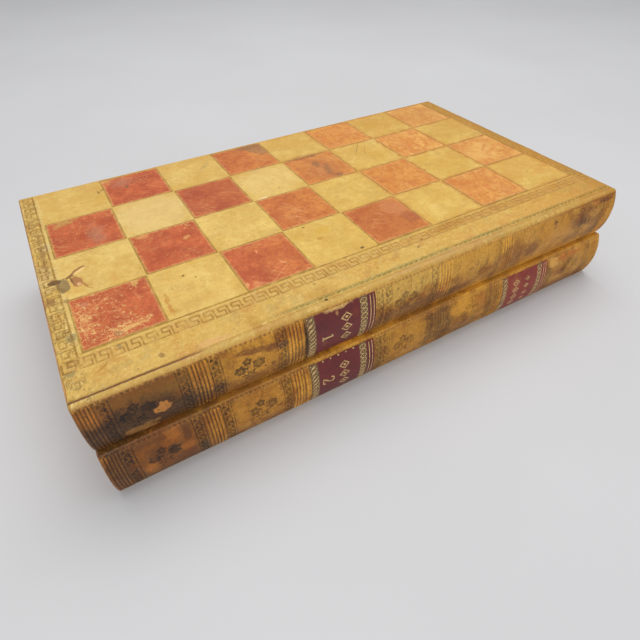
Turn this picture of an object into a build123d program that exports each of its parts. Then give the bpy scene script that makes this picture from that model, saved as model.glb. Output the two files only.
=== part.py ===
"""Folding chess board made as two leather-bound volumes that lie one on the other.

Each volume is a shallow wooden tray. Its outer face carries half of the chess board, let into the
leather, and its inside is half of a backgammon table. One long wall is rounded like a book's spine,
and the wall opposite carries brass butt hinges in its rim, so the two trays open flat, side by side.

X runs along the hinge, Y from the spines to the hinge, and Z up. The origin is under the middle of
the closed case, on the surface that it lies on. All sizes are in millimetres.
"""

import os
from math import asin, cos, degrees, sin, sqrt

from build123d import *

# Chess board
SQUARE = 48.0
FILES = 8
RANKS = 4
GRID_LINE = 2.0
INLAY_DEPTH = 0.5
INLAY_CLEARANCE = 0.05
END_MARGIN = 12.5
HINGE_MARGIN = 2.0
UPPER_SPINE_MARGIN = 34.8
SPINE_STEP = 3.0

# Tray shell
VOLUME_THICKNESS = 39.3
SPINE_BULGE = 4.6
LEATHER = 1.3
PANEL_THICKNESS = 4.5
PANEL_JOINT_LAND = 1.3
END_RAIL = 9.0
HINGE_RAIL = 10.0
SPINE_RAIL = 11.0
FACE_SPINE_RADIUS = 3.0
RIM_SPINE_RADIUS = 1.6
HINGE_FACE_RADIUS = 1.6
END_EDGE_BEVEL = 0.8

# Backgammon table
FIELD_LINING = 1.0
WALL_LINING = 0.8
POINTS_PER_END = 6
POINT_LENGTH = 152.0
POINT_GAP = 2.0
POINT_TIP = 1.6
POINT_THICKNESS = 0.4

# Spine labels, measured from the tail end
LABEL_THICKNESS = 0.3
GLUE_LINE = 0.05
LABEL_FACE_MARGIN = 3.2
LABEL_RIM_MARGIN = 2.2
NUMBER_LABEL_WIDTH = 49.0
NUMBER_LABEL_CENTRE = 152.5
TITLE_LABEL_WIDTH = 49.0
TITLE_LABEL_CENTRE = 320.5

# Hinges
RIM_GAP = 0.4
BACK_GAP = 0.3
HINGE_LENGTH = 44.0
HINGE_CENTRE_INSET = 87.0
LEAF_THICKNESS = 1.7
LEAF_WIDTH = 9.4
LEAF_CLEARANCE = 0.1
KNUCKLES = 3
KNUCKLE_RADIUS = 2.4
KNUCKLE_GAP = 0.2
BARREL_CLEARANCE = 0.35
PIN_RADIUS = 1.0
PIN_CLEARANCE = 0.05
PIN_TIP = 0.4

# Hinge screws
SCREWS_PER_LEAF = 2
SCREW_PITCH = 25.0
SCREW_LENGTH = 9.0
SCREW_RADIUS = 1.1
SCREW_HEAD_RADIUS = 2.3
SCREW_SLOT_WIDTH = 0.5
SCREW_SLOT_DEPTH = 0.45
SCREW_CLEARANCE = 0.05

# Worked out from the sizes above
LENGTH = FILES * SQUARE + 2 * END_MARGIN
LOWER_SPINE_MARGIN = UPPER_SPINE_MARGIN + SPINE_STEP
CASE_DEPTH = (
    LABEL_THICKNESS
    + GLUE_LINE
    + SPINE_BULGE
    + LOWER_SPINE_MARGIN
    + RANKS * SQUARE
    + HINGE_MARGIN
    + BACK_GAP / 2
    + KNUCKLE_RADIUS
)
PIN_Y = CASE_DEPTH / 2 - KNUCKLE_RADIUS
PIN_Z = VOLUME_THICKNESS + RIM_GAP / 2
BACK_Y = PIN_Y - BACK_GAP / 2
GRID_FRONT_Y = BACK_Y - HINGE_MARGIN - RANKS * SQUARE
MIRROR_PLANE = Plane.XY.offset(PIN_Z)

FLOOR_Z = LEATHER + PANEL_THICKNESS
FIELD_Z = FLOOR_Z + FIELD_LINING
RAIL_TOP_Z = VOLUME_THICKNESS - LEATHER
WELL_HALF_LENGTH = LENGTH / 2 - LEATHER - END_RAIL
WELL_BACK_Y = BACK_Y - LEATHER - HINGE_RAIL
SPINE_ARC_RADIUS = ((VOLUME_THICKNESS / 2) ** 2 + SPINE_BULGE**2) / (2 * SPINE_BULGE)
OVERRUN = VOLUME_THICKNESS / 4


def slab(x0, x1, y0, y1, z0, z1):
    """A block between two corners."""
    return Pos((x0 + x1) / 2, (y0 + y1) / 2, (z0 + z1) / 2) * Box(x1 - x0, y1 - y0, z1 - z0)


def only_solids(shape):
    """The solids of a result, as one compound where there are several."""
    solids = shape.solids()
    return solids[0] if len(solids) == 1 else Compound(children=list(solids))


class Tray:
    """The places in one volume, with its chess face at Z = 0 and its rim at VOLUME_THICKNESS."""

    def __init__(self, spine_margin, first_dark):
        self.spine_y = GRID_FRONT_Y - spine_margin
        self.well_front_y = self.spine_y + SPINE_RAIL
        self.joint_y = self.spine_y + FACE_SPINE_RADIUS + PANEL_JOINT_LAND
        self.arc_y = self.spine_y - SPINE_BULGE + SPINE_ARC_RADIUS
        self.first_dark = first_dark

    def arc_point(self, radius, z):
        """The point at height z on a spine arc of the given radius."""
        reach = z - VOLUME_THICKNESS / 2
        return (self.arc_y - sqrt(radius**2 - reach**2), z)

    def profile(self, inset):
        """The volume's cross-section, drawn inwards by inset all round."""
        radius = SPINE_ARC_RADIUS - inset
        face_corner = self.arc_point(radius, inset)
        rim_corner = self.arc_point(radius, VOLUME_THICKNESS - inset)
        middle = self.arc_point(radius, VOLUME_THICKNESS / 2)
        back_y = BACK_Y - inset
        back_face = (back_y, inset)
        back_rim = (back_y, VOLUME_THICKNESS - inset)
        outline = [
            ThreePointArc(face_corner, middle, rim_corner),
            Line(rim_corner, back_rim),
            Line(back_rim, back_face),
            Line(back_face, face_corner),
        ]
        section = make_face(outline)
        corner_radii = {
            face_corner: FACE_SPINE_RADIUS - inset,
            rim_corner: RIM_SPINE_RADIUS - inset,
            back_face: HINGE_FACE_RADIUS - inset,
        }
        for (y, z), corner_radius in corner_radii.items():
            if corner_radius > 0.1:
                corner = section.vertices().sort_by_distance((y, z, 0))[0]
                section = fillet(corner, corner_radius)
        return section

    def prism(self, inset, half_length):
        """The cross-section run along X to both sides of the middle."""
        return extrude(Plane.YZ * self.profile(inset), half_length, both=True)


def case_envelope(tray):
    """The outside of one volume, with its end edges eased as leather turns over them."""
    block = tray.prism(0, LENGTH / 2)
    ends = block.faces().sort_by(Axis.X)
    return chamfer(ends[0].edges() + ends[-1].edges(), END_EDGE_BEVEL)


def well(tray, lining):
    """The open hollow of the tray above the panel, narrowed by the wall lining."""
    return slab(
        -WELL_HALF_LENGTH + lining,
        WELL_HALF_LENGTH - lining,
        tray.well_front_y + lining,
        WELL_BACK_Y - lining,
        FLOOR_Z,
        VOLUME_THICKNESS + OVERRUN,
    )


def hinge_centres():
    """X of the middle of each hinge."""
    reach = LENGTH / 2 - HINGE_CENTRE_INSET
    return [-reach, reach]


def screw_places():
    """X and Y of every hinge screw."""
    first = -SCREW_PITCH * (SCREWS_PER_LEAF - 1) / 2
    screw_y = (PIN_Y - KNUCKLE_RADIUS - BARREL_CLEARANCE + PIN_Y - LEAF_WIDTH) / 2
    return [
        (centre + first + SCREW_PITCH * n, screw_y)
        for centre in hinge_centres()
        for n in range(SCREWS_PER_LEAF)
    ]


def barrel(centre, length, radius):
    """A cylinder on the pin's axis."""
    return Pos(centre, PIN_Y, PIN_Z) * Rot(0, 90, 0) * Cylinder(radius, length)


def hinge_seats():
    """What the hinges need cut out of the rail and the leather over it."""
    cuts = []
    half = HINGE_LENGTH / 2 + LEAF_CLEARANCE
    for centre in hinge_centres():
        cuts.append(
            slab(
                centre - half,
                centre + half,
                PIN_Y - LEAF_WIDTH - LEAF_CLEARANCE,
                PIN_Y + OVERRUN,
                VOLUME_THICKNESS - LEAF_THICKNESS,
                VOLUME_THICKNESS + OVERRUN,
            )
        )
        cuts.append(barrel(centre, 2 * half + 2 * PIN_TIP, KNUCKLE_RADIUS + BARREL_CLEARANCE))
    return cuts


def screw_holes():
    """Pilot holes in the hinge rail."""
    depth = SCREW_LENGTH + SCREW_CLEARANCE
    hole = Cylinder(SCREW_RADIUS + SCREW_CLEARANCE, depth)
    return [Pos(x, y, VOLUME_THICKNESS - depth / 2) * hole for x, y in screw_places()]


def wooden_parts(tray):
    """The panel and the four rails that stand on it."""
    core = tray.prism(LEATHER, LENGTH / 2 - LEATHER)
    core_back = BACK_Y - LEATHER
    half = LENGTH / 2
    front_reach = tray.spine_y - SPINE_BULGE - OVERRUN
    panel = core & slab(-half, half, tray.joint_y, core_back, 0, FLOOR_Z)
    walls = core - well(tray, 0) - panel
    spine_rail = walls & slab(-half, half, front_reach, tray.well_front_y, 0, VOLUME_THICKNESS)
    hinge_rail = walls & slab(-half, half, WELL_BACK_Y, core_back, FLOOR_Z, VOLUME_THICKNESS)
    for cut in hinge_seats() + screw_holes():
        hinge_rail -= cut
    ends = walls & slab(-half, half, tray.well_front_y, WELL_BACK_Y, FLOOR_Z, VOLUME_THICKNESS)
    tail_rail, head_rail = ends.solids().sort_by(Axis.X)
    return {
        "panel": panel,
        "spine_rail": spine_rail,
        "hinge_rail": hinge_rail,
        "tail_rail": tail_rail,
        "head_rail": head_rail,
    }


def dark_places(tray):
    """X and Y of the middle of each dark square, front rank first."""
    return [
        (-LENGTH / 2 + END_MARGIN + SQUARE * (file + 0.5), GRID_FRONT_Y + SQUARE * (rank + 0.5))
        for rank in range(RANKS)
        for file in range(FILES)
        if (file + rank) % 2 == tray.first_dark
    ]


def leather_parts(tray):
    """The calf over the outside, turned in over the rims, with recesses for the dark squares."""
    half = LENGTH / 2
    front_reach = tray.spine_y - SPINE_BULGE - OVERRUN
    back_reach = BACK_Y + OVERRUN
    rim_front = tray.well_front_y + WALL_LINING
    rim_back = WELL_BACK_Y - WALL_LINING
    envelope = case_envelope(tray)
    skin = envelope - tray.prism(LEATHER, half + OVERRUN) - well(tray, WALL_LINING)

    face_zone = slab(-half, half, tray.joint_y, back_reach, -OVERRUN, LEATHER)
    face = skin & face_zone
    side = SQUARE - GRID_LINE + 2 * INLAY_CLEARANCE
    recess = Box(side, side, 2 * INLAY_DEPTH)
    for x, y in dark_places(tray):
        face -= Pos(x, y, 0) * recess

    spine_zone = slab(-half, half, front_reach, rim_front, -OVERRUN, VOLUME_THICKNESS + OVERRUN)
    spine = (skin & spine_zone) - face_zone

    back_zone = slab(-half, half, rim_back, back_reach, LEATHER, VOLUME_THICKNESS + OVERRUN)
    hinge_side = skin & back_zone
    for cut in hinge_seats():
        hinge_side -= cut

    end_rims = skin & slab(-half, half, rim_front, rim_back, RAIL_TOP_Z, VOLUME_THICKNESS + OVERRUN)
    caps = (envelope & tray.prism(LEATHER, half)) - tray.prism(0, half - LEATHER)
    ends = [
        cap.fuse(rim)
        for cap, rim in zip(caps.solids().sort_by(Axis.X), end_rims.solids().sort_by(Axis.X))
    ]
    return {
        "face_leather": face,
        "spine_leather": spine,
        "edge_leather": Compound(children=[only_solids(s) for s in (hinge_side, *ends)]),
    }


def dark_squares(tray):
    """The red squares let into the face, flush with it."""
    side = SQUARE - GRID_LINE
    tile = Box(side, side, INLAY_DEPTH)
    return Compound(
        children=[Pos(x, y, INLAY_DEPTH / 2) * tile for x, y in dark_places(tray)]
    )


def linings(tray):
    """The leather on the floor of the tray and the strips up its four walls."""
    front, back = tray.well_front_y, WELL_BACK_Y
    reach = WELL_HALF_LENGTH
    field = slab(-reach, reach, front, back, FLOOR_Z, FIELD_Z)
    strips = [
        slab(-reach, reach, front, front + WALL_LINING, FIELD_Z, RAIL_TOP_Z),
        slab(-reach, reach, back - WALL_LINING, back, FIELD_Z, RAIL_TOP_Z),
        slab(-reach, -reach + WALL_LINING, front + WALL_LINING, back - WALL_LINING, FIELD_Z, RAIL_TOP_Z),
        slab(reach - WALL_LINING, reach, front + WALL_LINING, back - WALL_LINING, FIELD_Z, RAIL_TOP_Z),
    ]
    return {"field_lining": field, "wall_lining": Compound(children=strips)}


def backgammon_points(tray):
    """Long points of two colours, standing on both end walls and facing each other."""
    front = tray.well_front_y + WALL_LINING
    pitch = (WELL_BACK_Y - WALL_LINING - front) / POINTS_PER_END
    base_x = WELL_HALF_LENGTH - WALL_LINING
    half_base = (pitch - POINT_GAP) / 2
    point = extrude(
        make_face(
            Polyline(
                (0, -half_base),
                (POINT_LENGTH, -POINT_TIP / 2),
                (POINT_LENGTH, POINT_TIP / 2),
                (0, half_base),
                close=True,
            )
        ),
        POINT_THICKNESS,
    )
    colours = ([], [])
    for n in range(POINTS_PER_END):
        y = front + pitch * (n + 0.5)
        colours[n % 2].append(Pos(-base_x, y, FIELD_Z) * point)
        colours[(n + 1) % 2].append(Pos(base_x, y, FIELD_Z) * Rot(0, 0, 180) * point)
    return {
        "red_points": Compound(children=colours[0]),
        "green_points": Compound(children=colours[1]),
    }


def spine_label(tray, centre, width):
    """A thin leather label pasted round the spine, its middle at centre from the tail end."""
    inner = SPINE_ARC_RADIUS + GLUE_LINE
    outer = inner + LABEL_THICKNESS
    half_height = VOLUME_THICKNESS / 2
    low = asin((LABEL_FACE_MARGIN - half_height) / outer)
    high = asin((half_height - LABEL_RIM_MARGIN) / outer)

    def at(radius, angle):
        return (tray.arc_y - radius * cos(angle), half_height + radius * sin(angle))

    middle = (low + high) / 2
    section = make_face(
        [
            ThreePointArc(at(outer, low), at(outer, middle), at(outer, high)),
            Line(at(outer, high), at(inner, high)),
            ThreePointArc(at(inner, high), at(inner, middle), at(inner, low)),
            Line(at(inner, low), at(outer, low)),
        ]
    )
    label = extrude(Plane.YZ * section, width / 2, both=True)
    return Pos(centre - LENGTH / 2, 0, 0) * label


def hinge_leaf(centre, first_knuckle):
    """One leaf of a butt hinge: its plate, every second knuckle, and its screw holes."""
    pitch = HINGE_LENGTH / KNUCKLES
    half = HINGE_LENGTH / 2
    leaf = slab(
        centre - half,
        centre + half,
        PIN_Y - LEAF_WIDTH,
        PIN_Y,
        VOLUME_THICKNESS - LEAF_THICKNESS,
        VOLUME_THICKNESS,
    )
    for n in range(KNUCKLES):
        middle = centre - half + pitch * (n + 0.5)
        if n % 2 == first_knuckle:
            leaf += barrel(middle, pitch - KNUCKLE_GAP, KNUCKLE_RADIUS)
        else:
            clear = KNUCKLE_RADIUS + BARREL_CLEARANCE
            leaf -= slab(
                middle - (pitch + KNUCKLE_GAP) / 2,
                middle + (pitch + KNUCKLE_GAP) / 2,
                PIN_Y - clear,
                PIN_Y + OVERRUN,
                0,
                2 * PIN_Z,
            )
    leaf -= barrel(centre, 2 * HINGE_LENGTH, PIN_RADIUS + PIN_CLEARANCE)
    for x, y in screw_places():
        if abs(x - centre) < half:
            leaf -= screw_blank(x, y, SCREW_CLEARANCE)
    return leaf


def screw_blank(x, y, clearance):
    """A countersunk screw without its slot, swollen by the clearance."""
    shank_radius = SCREW_RADIUS + clearance
    head_radius = SCREW_HEAD_RADIUS + clearance
    shank = Pos(x, y, VOLUME_THICKNESS - SCREW_LENGTH / 2) * Cylinder(shank_radius, SCREW_LENGTH)
    head = Pos(x, y, VOLUME_THICKNESS - LEAF_THICKNESS / 2) * Cone(
        shank_radius, head_radius, LEAF_THICKNESS
    )
    return shank + head


def hinge_screws():
    """The slotted countersunk screws of one volume's leaves."""
    screws = []
    for x, y in screw_places():
        slot = slab(
            x - SCREW_HEAD_RADIUS,
            x + SCREW_HEAD_RADIUS,
            y - SCREW_SLOT_WIDTH / 2,
            y + SCREW_SLOT_WIDTH / 2,
            VOLUME_THICKNESS - SCREW_SLOT_DEPTH,
            VOLUME_THICKNESS + OVERRUN,
        )
        screws.append(only_solids(screw_blank(x, y, 0) - slot))
    return Compound(children=screws)


def hinge_pin(centre):
    """The pin of one hinge, standing out a little at both ends of the barrel."""
    return barrel(centre, HINGE_LENGTH + 2 * PIN_TIP, PIN_RADIUS)


def volume_parts(tray):
    """Everything that belongs to one volume, in the tray's own place."""
    return {
        **wooden_parts(tray),
        **leather_parts(tray),
        "dark_squares": dark_squares(tray),
        **linings(tray),
        **backgammon_points(tray),
        "number_label": spine_label(tray, NUMBER_LABEL_CENTRE, NUMBER_LABEL_WIDTH),
        "hinge_screws": hinge_screws(),
    }


def build():
    """Every node of the folding board, closed."""
    lower = Tray(LOWER_SPINE_MARGIN, first_dark=1)
    upper = Tray(UPPER_SPINE_MARGIN, first_dark=0)
    nodes = {f"lower_{name}": shape for name, shape in volume_parts(lower).items()}
    nodes["lower_title_label"] = spine_label(lower, TITLE_LABEL_CENTRE, TITLE_LABEL_WIDTH)
    for name, shape in volume_parts(upper).items():
        nodes[f"upper_{name}"] = mirror(shape, about=MIRROR_PLANE)
    for side, centre in zip(("tail", "head"), hinge_centres()):
        nodes[f"{side}_hinge_lower_leaf"] = hinge_leaf(centre, first_knuckle=0)
        nodes[f"{side}_hinge_upper_leaf"] = mirror(
            hinge_leaf(centre, first_knuckle=1), about=MIRROR_PLANE
        )
        nodes[f"{side}_hinge_pin"] = hinge_pin(centre)
    return nodes


os.makedirs("parts", exist_ok=True)
for node, shape in build().items():
    export_step(only_solids(shape), f"parts/{node}.step")

print("closed case", LENGTH, "x", round(CASE_DEPTH, 2), "x", 2 * PIN_Z, "mm")
print("pin axis at Y", round(PIN_Y, 3), "Z", round(PIN_Z, 3))
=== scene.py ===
# %% [markdown]
# # A folding chess board bound as a pair of books
#
# The object is an old games case: two shallow trays, hinged along one long edge and bound in calf,
# so that the closed case looks like two volumes lying one on the other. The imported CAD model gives
# every size and place. This notebook dresses it in leather, tooling, ink, gilt and brass.
#
# The first cell loads that model. Its nodes stay where they are, and each new piece is built in
# metres in the same frame, so nothing has to be fitted by eye.

# %% Load the frame
import math

import bmesh
import bpy
from mathutils import Matrix, Vector, noise


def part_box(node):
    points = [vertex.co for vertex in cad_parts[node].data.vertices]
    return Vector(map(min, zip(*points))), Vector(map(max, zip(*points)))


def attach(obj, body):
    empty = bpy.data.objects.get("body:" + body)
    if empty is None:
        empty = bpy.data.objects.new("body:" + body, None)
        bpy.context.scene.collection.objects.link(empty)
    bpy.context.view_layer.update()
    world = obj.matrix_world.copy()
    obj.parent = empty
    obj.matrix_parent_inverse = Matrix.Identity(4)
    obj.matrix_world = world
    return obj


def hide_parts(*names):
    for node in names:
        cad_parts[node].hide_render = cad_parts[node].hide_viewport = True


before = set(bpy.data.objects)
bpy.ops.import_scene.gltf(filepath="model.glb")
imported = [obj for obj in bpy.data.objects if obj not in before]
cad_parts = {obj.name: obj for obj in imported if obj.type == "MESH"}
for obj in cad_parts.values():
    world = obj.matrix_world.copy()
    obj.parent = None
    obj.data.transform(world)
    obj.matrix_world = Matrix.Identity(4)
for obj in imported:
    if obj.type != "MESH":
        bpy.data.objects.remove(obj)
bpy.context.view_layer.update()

# %% [markdown]
# ## Sizes that the pieces share
#
# Most places are read from the boxes of the CAD nodes. What a box can't tell, such as how far the
# spine bulges or how wide one square is, is named here once, in millimetres times MM.

# %% Shared sizes
MM = 0.001
SQUARE = 48 * MM
FILES = 8
RANKS = 4
GRID_LINE = 2 * MM
LEATHER = 1.3 * MM
SPINE_BULGE = 4.6 * MM
FACE_SPINE_RADIUS = 3.0 * MM
RIM_SPINE_RADIUS = 1.6 * MM
HINGE_FACE_RADIUS = 1.6 * MM
END_EASE = 0.8 * MM


class Volume:
    """Places on one of the two volumes. Depth is measured from its chess face towards its rim."""

    def __init__(self, name, outward):
        self.name = name
        self.body = f"{name}_volume"
        self.outward = outward
        face_low, face_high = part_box(f"{name}_face_leather")
        spine_low, spine_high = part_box(f"{name}_spine_leather")
        squares_low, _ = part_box(f"{name}_dark_squares")
        self.half_length = face_high[0]
        self.joint_y = face_low[1]
        self.back_y = face_high[1]
        self.rim_y = spine_high[1]
        self.face_z = face_high[2] if outward > 0 else face_low[2]
        self.thickness = spine_high[2] - spine_low[2]
        self.spine_y = spine_low[1] + SPINE_BULGE
        self.grid_x = squares_low[0] - GRID_LINE / 2
        self.grid_y = squares_low[1] - GRID_LINE / 2
        half = self.thickness / 2
        self.radius = (half**2 + SPINE_BULGE**2) / (2 * SPINE_BULGE)
        self.arc_y = spine_low[1] + self.radius
        self.middle_z = self.face_z - outward * half

    def place(self, x, y, depth):
        """A point in the row frame."""
        return Vector((x, y, self.face_z - self.outward * depth))


upper = Volume("upper", 1)
lower = Volume("lower", -1)
VOLUMES = (lower, upper)
for volume in VOLUMES:
    radius_mm = round(volume.radius / MM, 2)
    print(volume.name, "spine radius", radius_mm, "mm, face at z", round(volume.face_z, 4))

# %% [markdown]
# ## Light, floor and camera
#
# The object lies on a plain pale floor under soft light from above. Large lamps make soft shadows,
# as a window or a lit ceiling does. The camera stands where the photograph was taken from: its
# place, aim, roll and lens were worked out from the corners of the chess squares.

# %% Camera
CAMERA_PLACE = Vector((-165.9, -286.8, 262.7)) * MM
CAMERA_AIM = Vector((-50.5, -85.0, 39.5)) * MM
CAMERA_ROLL = math.radians(-0.765)
CAMERA_LENS = 26.48

camera_data = bpy.data.cameras.new("photo_camera")
camera_data.lens = CAMERA_LENS
camera_data.sensor_width = 36.0
camera_data.clip_start = 0.01
camera = bpy.data.objects.new("photo_camera", camera_data)
bpy.context.collection.objects.link(camera)
aim = (CAMERA_AIM - CAMERA_PLACE).to_track_quat("-Z", "Y").to_matrix().to_4x4()
camera.matrix_world = Matrix.Translation(CAMERA_PLACE) @ aim @ Matrix.Rotation(CAMERA_ROLL, 4, "Z")
bpy.context.scene.camera = camera
print("camera looks down", round(math.degrees(math.asin(-(aim @ Vector((0, 0, -1))).z)), 1), "degrees")


# %% Lamps and world
def add_lamp(name, place, width, watts, colour=(1.0, 1.0, 1.0)):
    """A square soft lamp that points at the middle of the object."""
    data = bpy.data.lights.new(name, "AREA")
    data.size = width
    data.energy = watts
    data.color = colour
    lamp = bpy.data.objects.new(name, data)
    lamp.location = place
    lamp.rotation_euler = (Vector((0, 0, 0.04)) - Vector(place)).to_track_quat("-Z", "Y").to_euler()
    bpy.context.collection.objects.link(lamp)
    return lamp


add_lamp("ceiling_lamp", (0.25, 0.35, 1.6), 1.4, 17.5, (1.0, 0.985, 0.96))
add_lamp("window_lamp", (-0.6, -1.3, 0.9), 1.2, 8.2, (0.98, 0.985, 1.0))
world = bpy.data.worlds.new("soft_room")
world.use_nodes = True
world.node_tree.nodes["Background"].inputs["Color"].default_value = (0.875, 0.88, 0.885, 1.0)
world.node_tree.nodes["Background"].inputs["Strength"].default_value = 0.55
bpy.context.scene.world = world
bpy.context.scene.view_settings.view_transform = "Standard"

# %% [markdown]
# ## Writing node trees
#
# Shader trees and geometry trees are both built in code. A small class keeps a recipe short: it
# adds a node, sets what it is told and links any socket that it is given. Colours are written as
# three numbers, as they look on a screen, 0 to 255, and a colour socket gets them as linear values.
# Four numbers are linear already, or factors that make a colour lighter or darker.


# %% The recipe helper
def paint(red, green, blue):
    """A screen colour as linear red, green, blue and alpha."""
    screen = (red, green, blue)
    linear = [((c / 255 + 0.055) / 1.055) ** 2.4 if c > 10 else c / 3294.6 for c in screen]
    return (*linear, 1.0)


class Recipe:
    """Adds and links the nodes of one tree."""

    def __init__(self, tree):
        self.tree = tree

    def add(self, kind, inputs=(), **settings):
        node = self.tree.nodes.new(kind)
        for name, value in settings.items():
            setattr(node, name, value)
        for socket, value in dict(inputs).items():
            self.feed(node.inputs[socket], value)
        return node

    def feed(self, socket, value):
        if isinstance(value, bpy.types.NodeSocket):
            self.tree.links.new(value, socket)
        else:
            screen = socket.type == "RGBA" and len(value) == 3
            socket.default_value = paint(*value) if screen else value

    def math(self, operation, a, b=0.0):
        return self.add("ShaderNodeMath", {0: a, 1: b}, operation=operation).outputs[0]

    def times(self, a, b):
        return self.math("MULTIPLY", a, b)

    def plus(self, a, b):
        return self.math("ADD", a, b)

    def less(self, a, b):
        return self.math("SUBTRACT", a, b)

    def most(self, a, b):
        return self.math("MAXIMUM", a, b)

    def away(self, a, b):
        """How far a lies from b."""
        return self.math("ABSOLUTE", self.less(a, b))

    def lay(self, colour, stain, mask, strength):
        """Lays a stain over a colour where the mask is."""
        return self.mix(self.times(mask, strength), colour, stain)

    def coat(self, stain, mask, strength=None, blend="MIX"):
        """The same on the recipe's own colour, which grows coat by coat."""
        factor = mask if strength is None else self.times(mask, strength)
        self.colour = self.mix(factor, self.colour, stain, blend)

    def vector(self, operation, a, b=(0.0, 0.0, 0.0)):
        return self.add("ShaderNodeVectorMath", {0: a, 1: b}, operation=operation).outputs[0]

    def geo(self, kind, inputs=(), **settings):
        """A geometry node's first output."""
        return self.add("GeometryNode" + kind, inputs, **settings).outputs[0]

    def shift(self, geometry, offset):
        return self.geo("SetPosition", {"Geometry": geometry, "Offset": offset})

    def here(self):
        return self.geo("InputPosition")

    def xyz(self, x=0.0, y=0.0, z=0.0):
        return self.add("ShaderNodeCombineXYZ", {0: x, 1: y, 2: z}).outputs[0]

    def turned(self, vector, angle):
        return self.add("ShaderNodeVectorRotate", {"Vector": vector, "Angle": angle}).outputs[0]

    def split(self, vector):
        return self.add("ShaderNodeSeparateXYZ", {0: vector}).outputs

    def spread(self, value, low, high):
        """Low where value is 0, high where it is 1."""
        inputs = {"Value": value, "To Min": low, "To Max": high}
        return self.add("ShaderNodeMapRange", inputs).outputs[0]

    def ramp(self, value, low, high):
        """0 below low and 1 above high, or the other way round, with a soft step between."""
        inputs = {"Value": value, "From Min": low, "From Max": high}
        return self.add("ShaderNodeMapRange", inputs, interpolation_type="SMOOTHSTEP").outputs[0]

    def mix(self, factor, a, b, blend="MIX"):
        inputs = {"Factor": factor, 6: a, 7: b}
        return self.add("ShaderNodeMix", inputs, data_type="RGBA", blend_type=blend).outputs[2]

    def scale(self, vector, factor):
        return self.add("ShaderNodeVectorMath", {0: vector, "Scale": factor}, operation="SCALE").outputs[0]

    def random(self, low, high, seed):
        inputs = {2: low, 3: high, "Seed": seed}
        return self.add("FunctionNodeRandomValue", inputs, data_type="FLOAT").outputs[1]

    def noise(self, vector, scale, detail=3.0, roughness=0.55, output=0):
        inputs = {"Vector": vector, "Scale": scale, "Detail": detail, "Roughness": roughness}
        return self.add("ShaderNodeTexNoise", inputs).outputs[output]

    def group(self, name, inputs=()):
        kind = self.tree.bl_idname.replace("NodeTree", "NodeGroup")
        node = self.add(kind, node_tree=bpy.data.node_groups[name])
        for socket, value in dict(inputs).items():
            self.feed(node.inputs[socket], value)
        return node.outputs


NAMED_SOCKETS = {
    "Place": "Vector", "Colour": "Color", "Geometry": "Geometry", "Material": "Material",
    "Tile": "Object", "Stamps": "Collection",
}
VALUE_SOCKETS = {bool: "Bool", int: "Int", float: "Float", tuple: "Vector", type(None): "Float"}


def add_sockets(tree, direction, sockets):
    """Named sockets. Each one's type follows from its name or else from its first value."""
    for label, value in sockets.items():
        kind = NAMED_SOCKETS.get(label) or VALUE_SOCKETS[type(value)]
        socket = tree.interface.new_socket(label, in_out=direction, socket_type=f"NodeSocket{kind}")
        if value is not None:
            socket.default_value = value


def new_group(name, kind, inputs, outputs):
    """An empty node group with its recipe, the inputs that it reads and the outputs that it feeds."""
    tree = bpy.data.node_groups.new(name, kind)
    add_sockets(tree, "INPUT", inputs)
    add_sockets(tree, "OUTPUT", dict.fromkeys(outputs))
    recipe = Recipe(tree)
    return recipe, recipe.add("NodeGroupInput").outputs, recipe.add("NodeGroupOutput").inputs


def new_effect(name, inputs, outputs):
    return new_group(name, "ShaderNodeTree", {"Place": None, **inputs}, outputs)


def new_tree(name, inputs):
    return new_group(name, "GeometryNodeTree", {"Geometry": None, **inputs}, ["Geometry"])


print("cream paint", [round(c, 3) for c in paint(232, 200, 118)])

# %% [markdown]
# ## Shared effects
#
# Old leather shows the same few effects everywhere: a fine grain, soft mottling, pale scratches,
# dark specks and torn or stained patches. Each is a node group with named inputs, so every
# material can use it with values of its own. All of them read coordinates in millimetres.


# %% Group: leather surface
def build_surface_group():
    """Grain height and mottling of calf."""
    sizes = {"Grain Size": 0.9, "Mottle Size": 22.0}
    r, source, target = new_effect("Calf surface", sizes, ["Height", "Mottle", "Fine", "Speckle"])
    grain_scale = r.math("DIVIDE", 1.0, source["Grain Size"])
    mottle_scale = r.math("DIVIDE", 1.0, source["Mottle Size"])
    pores = r.add("ShaderNodeTexVoronoi", {"Vector": source["Place"], "Scale": grain_scale}, feature="F1")
    soft = r.noise(source["Place"], grain_scale, 4.0, 0.6)
    height = r.math("MULTIPLY_ADD", pores.outputs["Distance"], 0.6)
    r.feed(height.node.inputs[2], soft)
    r.feed(target["Height"], height)
    broad = r.noise(source["Place"], mottle_scale, 5.0, 0.62)
    r.feed(target["Mottle"], r.ramp(broad, 0.32, 0.68))
    r.feed(target["Fine"], r.ramp(r.noise(source["Place"], r.times(mottle_scale, 7.0), 3.0), 0.3, 0.7))
    speckle = r.noise(source["Place"], r.times(grain_scale, 0.75), 5.0, 0.8)
    r.feed(target["Speckle"], r.ramp(speckle, 0.35, 0.65))


def calf_surface(r, place, grain, mottle):
    return r.group("Calf surface", {"Place": place, "Grain Size": grain, "Mottle Size": mottle})


build_surface_group()


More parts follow.
